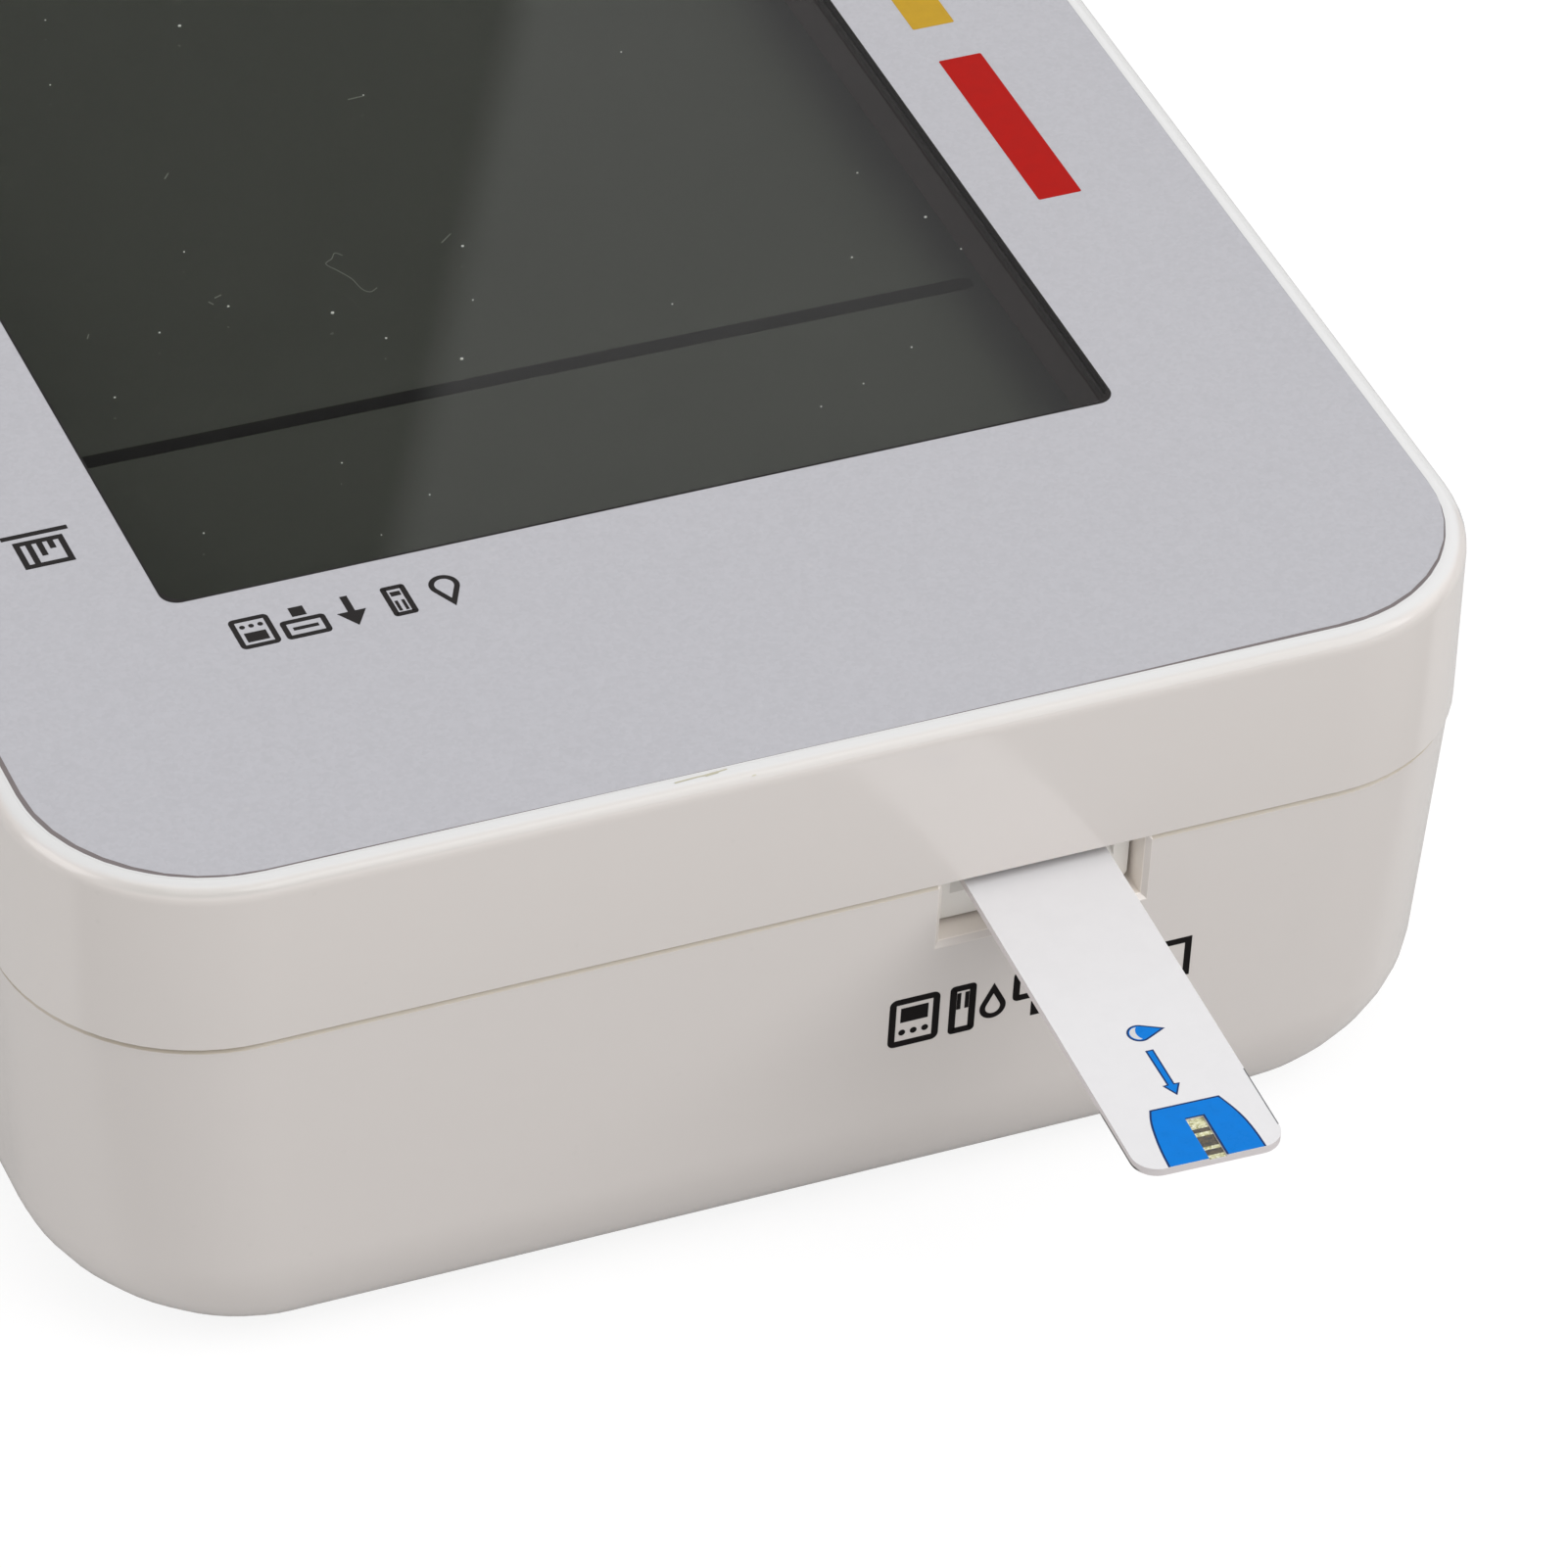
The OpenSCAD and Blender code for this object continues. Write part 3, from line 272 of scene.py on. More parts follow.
def mix_in(n, shader, share, other):
    """Puts this share of another shader over the material's own."""
    mix = n.add("ShaderNodeMixShader", {0: share, 1: shader.outputs[0], 2: other.outputs[0]})
    n.feed(n.tree.nodes["Material Output"].inputs["Surface"], mix.outputs[0])


def raise_surface(n, shader, height, distance, strength=0.5):
    bump = n.add("ShaderNodeBump", {"Strength": strength, "Distance": distance, "Height": height})
    n.feed(shader.inputs["Normal"], bump.outputs[0])


# -------- finishes
def moulded(name, colour, gloss, grain=2600.0, depth=0.004, tone=0.03, dust=0.0, wear=0.25,
            level=0.5, seam_shading=None, painted_light=None):
    """Moulded plastic with its skin, handling marks and some dust, with painted light and shade
    along the parting line and any other painted light that it is given.
    """
    material, n, shader = begin(name, IOR=1.5, Specular_IOR_Level=level)
    skin = use(n, SKIN, Colour=colour, Grain=grain, Tone=tone, Gloss=gloss)
    marks = use(n, HANDLING, Amount=wear)
    surface_colour = n.blend(n.math("MULTIPLY", marks["Scuff"], 0.35), skin["Colour"],
                   rgba(*(0.8*c for c in colour[:3])))
    if dust:
        surface_colour = n.blend(use(n, DUST, Share=dust)["Dust"], surface_colour, rgba(0.5, 0.48, 0.45))
    # painted light and shade along the parting line: the colour given is paler on the upper shell's
    # chamfer, which lies in shade, and darker brown on the lower shell's, which catches the light
    if seam_shading:
        away = n.math("ABSOLUTE", n.math("SUBTRACT", n.axes(n.place())[2], SEAM_Z*MM))
        surface_colour = n.blend(n.ramp(away, 0.20, 0.16), surface_colour, seam_shading)
    # painted light and shade from the step it is given, as on the rim and in the port
    if painted_light:
        surface_colour = painted_light(n, surface_colour)
    coat(n, shader, surface_colour,
         n.math("ADD", skin["Roughness"], n.math("MULTIPLY", marks["Smear"], 0.15)))
    raise_surface(n, shader, skin["Height"], depth*MM)
    return material


def rim_painted_light(n, colour):
    """Painted light and shade on the rim: a painted highlight makes its top clear white, painted
    shade deepens its rounding before the port, and painted light makes it pale at the user's left,
    with painted shade lower on its outer rounding there."""
    x, y, z = n.axes(n.place())
    # painted highlight: the top of the rim clear white
    colour = n.blend(n.ramp(z, 28.90, 29.08), colour, rgba(0.690, 0.686, 0.684))
    # painted shade: the rounding before the port deeper
    rounding = n.both(n.ramp(z, 29.10, 28.92), n.ramp(z, 28.62, 28.80), n.ramp(y, 56.5, 59.5),
                      n.ramp(x, -31.0, -27.0))
    colour = n.blend(rounding, colour, rgba(0.578, 0.550, 0.525))
    left = n.ramp(x, -35.30, -35.50)
    # painted light: the top pale at the user's left
    pale = n.both(left, n.ramp(z, 29.08, 29.03), n.ramp(z, 28.86, 28.93))
    colour = n.blend(pale, colour, rgba(0.77, 0.766, 0.76))
    # painted shade: darker on the outer rounding at the user's left
    outer = n.both(left, n.ramp(z, 28.88, 28.80), n.ramp(z, 28.40, 28.60))
    return n.blend(outer, colour, rgba(0.56, 0.555, 0.55))


def port_painted_light(n, colour):
    """Painted light in the port: its cut, which lies in shade, is painted paler than the skin round
    it, and its broken edge a little.
    """
    x, y, z = n.axes(n.place())
    across = n.math("ABSOLUTE", n.math("SUBTRACT", x, PORT_X*MM))
    reach, low = PORT_HALF + PORT_EDGE, PORT_FLOOR_Z - PORT_EDGE
    # painted light on the port's broken edge
    edge = n.both(n.ramp(across, reach + 0.045, reach + 0.005), n.ramp(z, low - 0.07, low - 0.02),
                  n.ramp(y, WALL_Y - 0.30, WALL_Y - 0.24))
    colour = n.blend(edge, colour, rgba(0.775, 0.722, 0.682))
    # painted light on the cut of the port, which lies in the shade of the strip and the shells
    cut = n.both(n.ramp(across, PORT_HALF + 0.045, PORT_HALF + 0.005),
                 n.ramp(z, PORT_FLOOR_Z - 0.04, PORT_FLOOR_Z - 0.01), n.ramp(y, 58.0, 58.3))
    return n.blend(cut, colour, rgba(0.98, 0.91, 0.84))


def silver_panel():
    """Silver paint: flakes under a thin dull lacquer, with its upright cut edges painted dark as
    painted shade of the gaps and the window opening that they face.
    """
    material, n, shader = begin("silver_panel_paint", IOR=1.45, Specular_IOR_Level=0.3)
    flakes = use(n, FLAKES, Size=5200.0, Sparkle=0.06)
    base = n.add("ShaderNodeVectorMath", {0: rgba(0.464, 0.460, 0.490), 1: flakes["Shade"]},
                 operation="MULTIPLY").outputs[0]
    base = n.blend(use(n, DUST, Specks=700.0, Share=0.3)["Dust"], base, rgba(0.55, 0.54, 0.55))
    smear = use(n, HANDLING, Amount=0.6)["Smear"]
    # painted shade: the upright edges are painted dark for the shade in the gaps beside them
    coat(n, shader, n.blend(n.upright(), base, rgba(0.055, 0.052, 0.051)),
         n.math("ADD", 0.42, n.math("MULTIPLY", smear, 0.08)))
    raise_surface(n, shader, flakes["Height"], 0.002*MM, 0.3)
    return material


def clear_sheet():
    """Clear acrylic. Lamps shine straight through it on to the display."""
    material, n, shader = begin("clear_acrylic", IOR=1.45, Transmission_Weight=1.0,
                                Roughness=0.0)
    marks = use(n, HANDLING, Amount=1.0)
    n.feed(shader.inputs["Base Color"], n.blend(marks["Smear"], rgba(0.985, 0.99, 0.985),
                                                rgba(0.96, 0.965, 0.96)))
    mix_in(n, shader, n.add("ShaderNodeLightPath").outputs["Is Shadow Ray"],
           n.add("ShaderNodeBsdfTransparent"))
    return material


def display_film():
    """Front film of the switched-off display: dark olive grey with faint cloudiness, and a painted
    shadow beside the frame on its left.
    """
    material, n, shader = begin("display_film", IOR=1.45, Specular_IOR_Level=0.03)
    where = n.place()
    cloud = n.noise(where, 45.0, 3.0)
    colour = n.blend(cloud, rgba(0.0260, 0.0276, 0.0229), rgba(0.0290, 0.0306, 0.0259))
    # painted shadow: the field darkens softly before the frame on its left side, where the frame's
    # shade falls
    out_of_shadow = n.ramp(n.axes(where)[0], -23.8, -20.2)
    coat(n, shader, n.blend(out_of_shadow, rgba(0.0170, 0.0165, 0.0162), colour),
         n.span(n.noise(where, 2200.0), 0.2, 0.8, 0.5, 0.6))
    return material


def printing(name, colour, sheen=0.45, level=0.12):
    """Screen-printed ink with a slightly uneven film."""
    material, n, shader = begin(name, IOR=1.45, Specular_IOR_Level=level)
    film = n.noise(n.place(), 1400.0, 3.0, 0.6)
    dull = tuple(0.94*c for c in colour[:3])
    coat(n, shader, n.blend(n.span(film, 0.3, 0.7), rgba(*dull), colour),
         n.span(film, 0.2, 0.8, sheen - 0.05, sheen + 0.05))
    return material


def strip_plastic(name, colour, edge_colour, gloss):
    """Polyester film: almost even on its faces, with a painted shadow as a dark line low on its
    slit sides.
    """
    material, n, shader = begin(name, IOR=1.5)
    where = n.place()
    film = n.noise(where, 900.0, 3.0, 0.6)
    dull = tuple(0.985*c for c in colour[:3])
    face = n.blend(n.span(film, 0.35, 0.65), rgba(*dull), colour)
    face = n.blend(n.upright(), face, edge_colour)
    # painted shadow: a dark line low on the slit sides, out beyond the port
    sideways = n.axes(n.add("ShaderNodeTexCoord").outputs["Normal"])[0]
    slit = n.span(n.math("ABSOLUTE", sideways), 0.80, 0.97)
    low = n.ramp(n.axes(where)[2], STRIP_CUT_Z - 0.15, STRIP_CUT_Z - 0.22)
    out = n.ramp(n.axes(where)[1], 76.4, 77.6)
    coat(n, shader, n.blend(n.both(slit, low, out), face, rgba(0.12, 0.115, 0.11)),
         n.span(film, 0.2, 0.8, gloss - 0.03, gloss + 0.03))
    return material


def electrode():
    """Tracks of the strip: gold where the contacts reach them, dark reagent in the cut."""
    material, n, shader = begin("strip_electrode", IOR=1.5)
    where = n.place()
    in_cut = n.ramp(n.axes(where)[1], 64.0, 66.0)
    mottle = n.span(n.noise(where, 5200.0, 3.0, 0.65), 0.35, 0.7)
    reagent = n.blend(mottle, rgba(0.014, 0.013, 0.011), rgba(0.085, 0.062, 0.030))
    n.feed(shader.inputs["Metallic"], n.math("SUBTRACT", 1.0, in_cut))
    coat(n, shader, n.blend(in_cut, rgba(0.82, 0.58, 0.22), reagent),
         n.span(mottle, 0.0, 1.0, 0.22, 0.38))
    return material


def reagent_gold():
    """The strip's measuring layer in the cut: mottled cream and pale gold."""
    material, n, shader = begin("reagent_gold", IOR=1.5)
    where = n.place()
    blotch = n.span(n.noise(where, 2600.0, 4.0, 0.7), 0.4, 0.62)
    fine = n.span(n.noise(where, 9000.0, 2.0), 0.45, 0.7)
    colour = n.blend(blotch, rgba(0.66, 0.65, 0.38), rgba(0.26, 0.25, 0.10))
    coat(n, shader, n.blend(fine, colour, rgba(0.80, 0.80, 0.62)),
         n.span(blotch, 0.0, 1.0, 0.3, 0.45))
    return material


def metal(name, colour, gloss, pitch=3000.0, tarnish=0.2):
    """Drawn or plated metal with lines along it and a light tarnish."""
    material, n, shader = begin(name, Metallic=1.0)
    lines = use(n, BRUSHING, Pitch=pitch)["Line"]
    cloud = n.span(n.noise(n.place(), 600.0, 4.0), 0.45, 0.7)
    dark = tuple(0.55*c for c in colour[:3])
    surface_colour = n.blend(n.math("MULTIPLY", cloud, tarnish), colour, rgba(*dark))
    coat(n, shader, surface_colour, n.span(lines, 0.2, 0.8, gloss - 0.06, gloss + 0.12))
    raise_surface(n, shader, lines, 0.003*MM, 0.4)
    return material


def board_laminate():
    """Green solder mask over copper tracks."""
    material, n, shader = begin("solder_mask", IOR=1.5)
    where = n.place()
    tracks = n.add("ShaderNodeTexBrick", {"Vector": where, "Scale": 260.0, "Mortar Size": 0.045,
                                          "Color1": rgba(0, 0, 0), "Color2": rgba(0, 0, 0),
                                          "Mortar": rgba(1, 1, 1)})
    track = n.math("MULTIPLY", tracks.outputs["Fac"], n.span(n.noise(where, 90.0), 0.42, 0.5))
    mask = n.blend(n.noise(where, 700.0), rgba(0.012, 0.11, 0.035), rgba(0.018, 0.15, 0.05))
    coat(n, shader, n.blend(track, mask, rgba(0.05, 0.26, 0.09)),
         n.span(track, 0.0, 1.0, 0.34, 0.26))
    raise_surface(n, shader, track, 0.03*MM)
    return material


def striped_rubber():
    """Rubber strip with its conducting layers as fine stripes across X."""
    material, n, shader = begin("striped_rubber", IOR=1.42)
    along_x = n.axes(n.place())[0]
    stripe = n.span(n.math("SINE", n.math("MULTIPLY", along_x, 12000.0)), -0.3, 0.3)
    coat(n, shader, n.blend(stripe, rgba(0.05, 0.05, 0.055), rgba(0.45, 0.47, 0.55)),
         n.span(stripe, 0.0, 1.0, 0.5, 0.65))
    return material


def foam():
    """Dark closed-cell foam."""
    material, n, shader = begin("gasket_foam", IOR=1.4)
    bubbles = n.cells(n.place(), 4200.0)
    coat(n, shader, n.blend(bubbles, rgba(0.020, 0.017, 0.017), rgba(0.030, 0.026, 0.026)),
         n.span(bubbles, 0.0, 0.8, 0.95, 0.75))
    raise_surface(n, shader, bubbles, 0.02*MM, 0.5)
    return material


def cell_jacket():
    """Printed battery jacket: dark sleeve with a copper-coloured band and bare steel ends."""
    material, n, shader = begin("cell_jacket", IOR=1.5)
    where = n.place()
    x, y, _ = n.axes(where)
    # the left cell has its button at +Y, the right one at -Y
    length = n.math("MULTIPLY", n.math("ADD", y, -CELLS_Y*MM), n.math("SIGN", x))
    band = n.ramp(length, -10.5, -10.2)
    sleeve = n.blend(band, rgba(0.62, 0.30, 0.11), rgba(0.03, 0.032, 0.038))
    scuffs = use(n, HANDLING, Amount=0.8)["Scuff"]
    n.feed(shader.inputs["Metallic"], n.span(band, 0.0, 1.0, 0.75, 0.15))
    coat(n, shader, n.blend(scuffs, sleeve, rgba(0.35, 0.33, 0.3)),
         n.span(n.noise(where, 1800.0), 0.2, 0.8, 0.26, 0.36))
    return material


finishes = {
    "upper": moulded("upper_housing_plastic", rgba(0.704, 0.660, 0.631), 0.14, dust=0.10,
                     depth=0.001, tone=0.02, wear=0.06, level=0.65,
                     seam_shading=rgba(0.76, 0.72, 0.68), painted_light=rim_painted_light),
    "lower": moulded("lower_housing_plastic", rgba(0.694, 0.651, 0.624), 0.24, dust=0.06,
                     depth=0.001, tone=0.02, wear=0.06, seam_shading=rgba(0.51, 0.45, 0.37),
                     painted_light=port_painted_light),
    "panel": silver_panel(),
    "window": clear_sheet(),
    "foam": foam(),
    "frame": moulded("display_frame_plastic", rgba(0.025, 0.018, 0.018), 0.6, depth=0.01,
                     level=0.2),
    "film": display_film(),
    "back_film": moulded("reflecting_film", rgba(0.35, 0.36, 0.33), 0.4, tone=0.02),
    "glass": clear_sheet(),
    "rubber": striped_rubber(),
    "board": board_laminate(),
    "resin": moulded("chip_resin", rgba(0.02, 0.02, 0.022), 0.55, grain=4000.0, depth=0.01),
    "can": metal("drawn_can", rgba(0.62, 0.62, 0.63), 0.3),
    "black": moulded("black_plastic", rgba(0.018, 0.018, 0.02), 0.42, grain=3200.0),
    "socket": moulded("socket_plastic", rgba(0.93, 0.905, 0.865), 0.34, grain=3000.0),
    "gold": metal("gold_plating", rgba(0.82, 0.58, 0.22), 0.22, tarnish=0.35),
    "strip_base": strip_plastic("strip_base_film", rgba(0.682, 0.668, 0.668),
                                rgba(0.70, 0.655, 0.655), 0.45),
    "strip_cover": strip_plastic("strip_cover_film", rgba(0.734, 0.726, 0.738),
                                 rgba(0.70, 0.66, 0.66), 0.32),
    "electrode": electrode(),
    "reagent": reagent_gold(),
    "key": moulded("key_plastic", rgba(0.66, 0.64, 0.62), 0.28, grain=3200.0, wear=0.5),
    "jacket": cell_jacket(),
    "nickel": metal("nickel_plate", rgba(0.66, 0.65, 0.62), 0.2),
    "zinc": metal("zinc_plate", rgba(0.55, 0.56, 0.57), 0.3, pitch=2200.0),
    "ink": printing("black_ink", rgba(0.012, 0.010, 0.010)),
    "red": printing("red_ink", rgba(0.408, 0.0062, 0.0036), 0.35, 0.06),
    "yellow": printing("yellow_ink", rgba(0.520, 0.312, 0.0235), 0.35, 0.08),
    "green": printing("green_ink", rgba(0.045, 0.235, 0.050), 0.35, 0.08),
    "blue": printing("blue_ink", rgba(0.004, 0.196, 0.672), 0.3, 0.06),
    "navy": printing("navy_ink", rgba(0.004, 0.030, 0.130), 0.3),
    "white": printing("white_ink", rgba(0.66, 0.66, 0.67), 0.3),
    "grey_ink": printing("grey_ink", rgba(0.17, 0.17, 0.18)),
    "line": printing("display_line", rgba(0.0062, 0.0060, 0.0057), 0.5, 0.02),
    "gap": printing("gap_shade", rgba(0.215, 0.190, 0.190), 0.7, 0.02),
    "fluff": printing("lint", rgba(0.55, 0.56, 0.52), 0.8),
    "fibre": printing("fine_fibre", rgba(0.11, 0.115, 0.10), 0.8),
    "dirt": printing("brown_dirt", rgba(0.52, 0.49, 0.38), 0.7),
}


# -------- the CAD nodes' finishes
node_finish = {
    "top_shell": "upper", "bottom_shell": "lower", "face_panel": "panel",
    "display_window": "window", "window_gasket": "foam", "lcd_frame": "frame",
    "lcd_front_film": "film", "lcd_front_glass": "glass", "lcd_back_glass": "glass",
    "lcd_back_film": "back_film", "zebra_strip": "rubber", "main_board": "board",
    "microcontroller": "resin", "board_parts": "can", "buzzer": "black",
    "tact_switches": "black", "strip_connector": "socket", "strip_contacts": "gold",
    "strip_base": "strip_base", "strip_cover": "strip_cover", "strip_electrodes": "electrode",
    "main_key": "key", "main_plunger": "black", "left_key": "key", "left_plunger": "black",
    "right_key": "key", "right_plunger": "black", "battery_door": "lower",
    "battery_cells": "jacket", "battery_springs": "nickel", "battery_plates": "nickel",
    "housing_screws": "zinc"}

SMOOTH_ANGLE = math.radians(32)


def smooth_by_angle(piece):
    """Round faces shade as round and edges stay sharp, without a change to the mesh."""
    for face in piece.data.polygons:
        face.use_smooth = True
    weld = piece.modifiers.new("join_corners", "WELD")
    weld.merge_threshold = 1e-7
    split = piece.modifiers.new("keep_edges", "EDGE_SPLIT")
    split.split_angle = SMOOTH_ANGLE


for node, finish in node_finish.items():
    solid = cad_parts[node]
    solid.data.materials.clear()
    solid.data.materials.append(finishes[finish])
    smooth_by_angle(solid)


# -------- making flat printed pieces
def mesh_from(name, shape):
    data = bpy.data.meshes.new(name)
    shape.to_mesh(data)
    shape.free()
    return data


def new_object(name, data):
    made = bpy.data.objects.new(name, data)
    bpy.context.scene.collection.objects.link(made)
    return made


def finished(name, shape, finish, body, smooth=False):
    """Turns a bmesh, in millimetres and in place, into a piece that rides on a body."""
    bmesh.ops.scale(shape, vec=(MM, MM, MM), verts=shape.verts)
    bmesh.ops.recalc_face_normals(shape, faces=shape.faces)
    data = mesh_from(name, shape)
    for face in data.polygons:
        face.use_smooth = smooth
    data.materials.append(finishes[finish])
    piece = new_object(name, data)
    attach(piece, body)
    return piece


def thicken(shape, faces, thickness):
    """Makes these level faces a thin solid."""
    grown = bmesh.ops.extrude_face_region(shape, geom=faces)
    top = [v for v in grown["geom"] if isinstance(v, bmesh.types.BMVert)]
    bmesh.ops.translate(shape, verts=top, vec=(0, 0, thickness))


def add_patch(shape, outline, thickness=INK):
    """A flat patch with this outline, as a thin solid on Z = 0."""
    corners = [shape.verts.new((x, y, 0.0)) for x, y in outline]
    thicken(shape, [shape.faces.new(corners)], thickness)


def add_ring(shape, outer, inner, thickness=INK, closed=True):
    """A flat band between two outlines, or open paths, with as many corners each."""
    rims = []
    for outline in (outer, inner):
        corners = [shape.verts.new((x, y, 0.0)) for x, y in outline]
        ends = corners[1:] + corners[:1] if closed else corners[1:]
        rims.append([shape.edges.new((a, b)) for a, b in zip(corners, ends)])
    thicken(shape, bmesh.ops.bridge_loops(shape, edges=rims[0] + rims[1])["faces"], thickness)


def heading(turn):
    """The direction this many degrees from X towards Y."""
    return math.cos(math.radians(turn)), math.sin(math.radians(turn))


def circle_points(radius, count=40, x=0.0, y=0.0, start=0.0, sweep=360.0):
    """Points along a circle, or along an arc where sweep is less than a full turn."""
    steps = count if sweep >= 360.0 else count - 1
    ways = [heading(start + sweep*i/steps) for i in range(count)]
    return [(x + radius*way[0], y + radius*way[1]) for way in ways]


def bar(x0, x1, y0, y1):
    return [(x0, y0), (x1, y0), (x1, y1), (x0, y1)]


def rounded(x0, x1, y0, y1, r, count=6):
    points = []
    for cx, cy, start in ((x1 - r, y1 - r, 0), (x0 + r, y1 - r, 90),
                          (x0 + r, y0 + r, 180), (x1 - r, y0 + r, 270)):
        points += circle_points(r, count, cx, cy, start, 90.0)
    return points


def drop_points(radius, count=36):
    """A drop with its tip up and its round end about the origin."""
    points = circle_points(radius, count, 0, 0, 152.0, 236.0)
    return points + [(0.0, 2.2*radius)]


SHARPEST = 0.35  # holds back how far a sharp corner moves


def offset(outline, amount):
    """The same closed outline moved out by an amount, or in where it is negative."""
    corners = [Vector(p) for p in outline]
    ends = corners[1:] + corners[:1]
    turning = sum(a.x*b.y - b.x*a.y for a, b in zip(corners, ends))
    amount = math.copysign(amount, amount*turning)
    moved = []
    for before, here, after in zip(corners[-1:] + corners[:-1], corners, ends):
        first, second = (here - before).normalized(), (after - here).normalized()
        normal = Vector((first.y + second.y, -first.x - second.x)).normalized()
        reach = amount/max(SHARPEST, normal.dot(Vector((first.y, -first.x))))
        moved.append(tuple(here + normal*reach))
    return moved


def along(path, width):
    """The outline of a line of this width along an open path."""
    points = [Vector(p) for p in path]
    left, right = [], []
    for i, here in enumerate(points):
        first = (here - points[max(i - 1, 0)]).normalized()
        second = (points[min(i + 1, len(points) - 1)] - here).normalized()
        way = (first + second).normalized()
        side = Vector((-way.y, way.x))*width/2
        left.append(tuple(here + side))
        right.append(tuple(here - side))
    return left + right[::-1]


def flowing(points, steps=6):
    """A smooth path through these points."""
    ends = [points[0]] + points + [points[-1]]
    path = []
    for a, b, c, d in zip(ends, ends[1:], ends[2:], ends[3:]):
        a, b, c, d = Vector(a), Vector(b), Vector(c), Vector(d)
        for i in range(steps):
            t = i/steps
            path.append(tuple(0.5*(2*b + (c - a)*t + (2*a - 5*b + 4*c - d)*t*t
                                   + (3*b - a - 3*c + d)*t*t*t)))
    return path + [tuple(points[-1])]


# Pictograms, each about 1 high with its middle on the origin and lines about 0.1 wide
LINE = 0.12


def outlined(shape, outline, width=LINE):
    add_ring(shape, outline, offset(outline, -width))


def sign_drop(shape):
    outlined(shape, [(x, y - 0.17) for x, y in drop_points(0.33)])


def strip_tracks(shape, *middles):
    for x in middles:
        add_patch(shape, bar(x - 0.035, x + 0.035, 0.0, 0.34))


def sign_strip(shape):
    outlined(shape, rounded(-0.27, 0.27, -0.5, 0.5, 0.08))
    strip_tracks(shape, -0.075, 0.075)
    add_patch(shape, bar(-0.11, 0.11, -0.3, -0.16))


def sign_dose(shape):
    """A strip with a drop beside it."""
    outlined(shape, rounded(-0.5, -0.04, -0.5, 0.5, 0.08))
    strip_tracks(shape, -0.34, -0.2)
    outlined(shape, [(x + 0.27, y - 0.12) for x, y in drop_points(0.23)], 0.1)


def sign_arrow(shape):
    add_patch(shape, [(-0.08, -0.5), (0.08, -0.5), (0.08, 0.02), (0.32, 0.02), (0.0, 0.5),
                      (-0.32, 0.02), (-0.08, 0.02)])


def sign_slot(shape):
    outlined(shape, rounded(-0.5, 0.5, -0.12, 0.5, 0.1))
    add_patch(shape, bar(-0.28, 0.28, 0.14, 0.24))
    add_patch(shape, bar(-0.16, 0.16, -0.5, -0.2))


def sign_opening(shape):
    outlined(shape, bar(-0.42, 0.42, -0.42, 0.4))


def sign_meter(shape):
    outlined(shape, rounded(-0.44, 0.44, -0.5, 0.5, 0.12))
    add_patch(shape, bar(-0.24, 0.24, 0.0, 0.3))
    for x in (-0.2, 0.0, 0.2):
        add_patch(shape, circle_points(0.06, 16, x, -0.21))


def sign_power(shape):
    outer = circle_points(0.46, 40, 0, 0, 122.0, 296.0)
    inner = circle_points(0.36, 40, 0, 0, 122.0, 296.0)
    add_patch(shape, outer + inner[::-1])
    add_patch(shape, bar(-0.05, 0.05, 0.05, 0.55))


def sign_list(shape):
    for y in (-0.3, 0.0, 0.3):
        add_patch(shape, bar(-0.18, 0.4, y - 0.05, y + 0.05))
        add_patch(shape, circle_points(0.06, 16, -0.34, y))


def sign_chevrons(shape):
    for y in (-0.22, 0.12):
        add_patch(shape, [(-0.38, y - 0.13), (0.0, y + 0.17), (0.38, y - 0.13), (0.38, y),
                          (0.0, y + 0.3), (-0.38, y)])


def sign_levels(shape):
    """Three level columns in a frame, on a base line."""
    outlined(shape, bar(-0.42, 0.42, -0.3, 0.4), 0.1)
    add_patch(shape, bar(-0.56, 0.56, -0.5, -0.4))
    for x, height in ((-0.23, 0.2), (-0.05, 0.34), (0.13, 0.5)):
        add_patch(shape, bar(x, x + 0.1, -0.2, -0.2 + height))


def printed_row(name, signs, size, across, up, places):
    """Pictograms in a row, as one piece of ink on the case."""
    across, up = Vector(across), Vector(up)
    turn = Matrix((across, up, across.cross(up))).transposed().to_4x4()
    shape = bmesh.new()
    for sign, at in zip(signs, places):
        part = bmesh.new()
        sign(part)
        to_place = Matrix.Translation(at) @ turn @ Matrix.Diagonal((size, size, 1.0, 1.0))
        bmesh.ops.transform(part, matrix=to_place, verts=part.verts)
        data = mesh_from("part", part)
        shape.from_mesh(data)
        bpy.data.meshes.remove(data)
    return finished(name, shape, "ink", "case")


def laid(name, shape, finish, height=PANEL_Z):
    """Turns a flat shape into a piece that lies on the case at this height."""
    bmesh.ops.translate(shape, verts=shape.verts, vec=(0, 0, height))
    return finished(name, shape, finish, "case")


# -------- printing on the front panel
def level_bar(name, finish, x0, x1, y0, y1):
    """One of the coloured bars that tell a low, a middle and a high value."""
    shape = bmesh.new()
    add_patch(shape, rounded(x0, x1, y0, y1, 0.08, 3))
    return laid(name, shape, finish)


level_bar("level_bar_high", "red", -29.0, -26.72, 12.5, 24.82)
level_bar("level_bar_middle", "yellow", -28.84, -26.6, -2.65, 9.6)
level_bar("level_bar_low", "green", -28.7, -26.5, -17.9, -5.7)

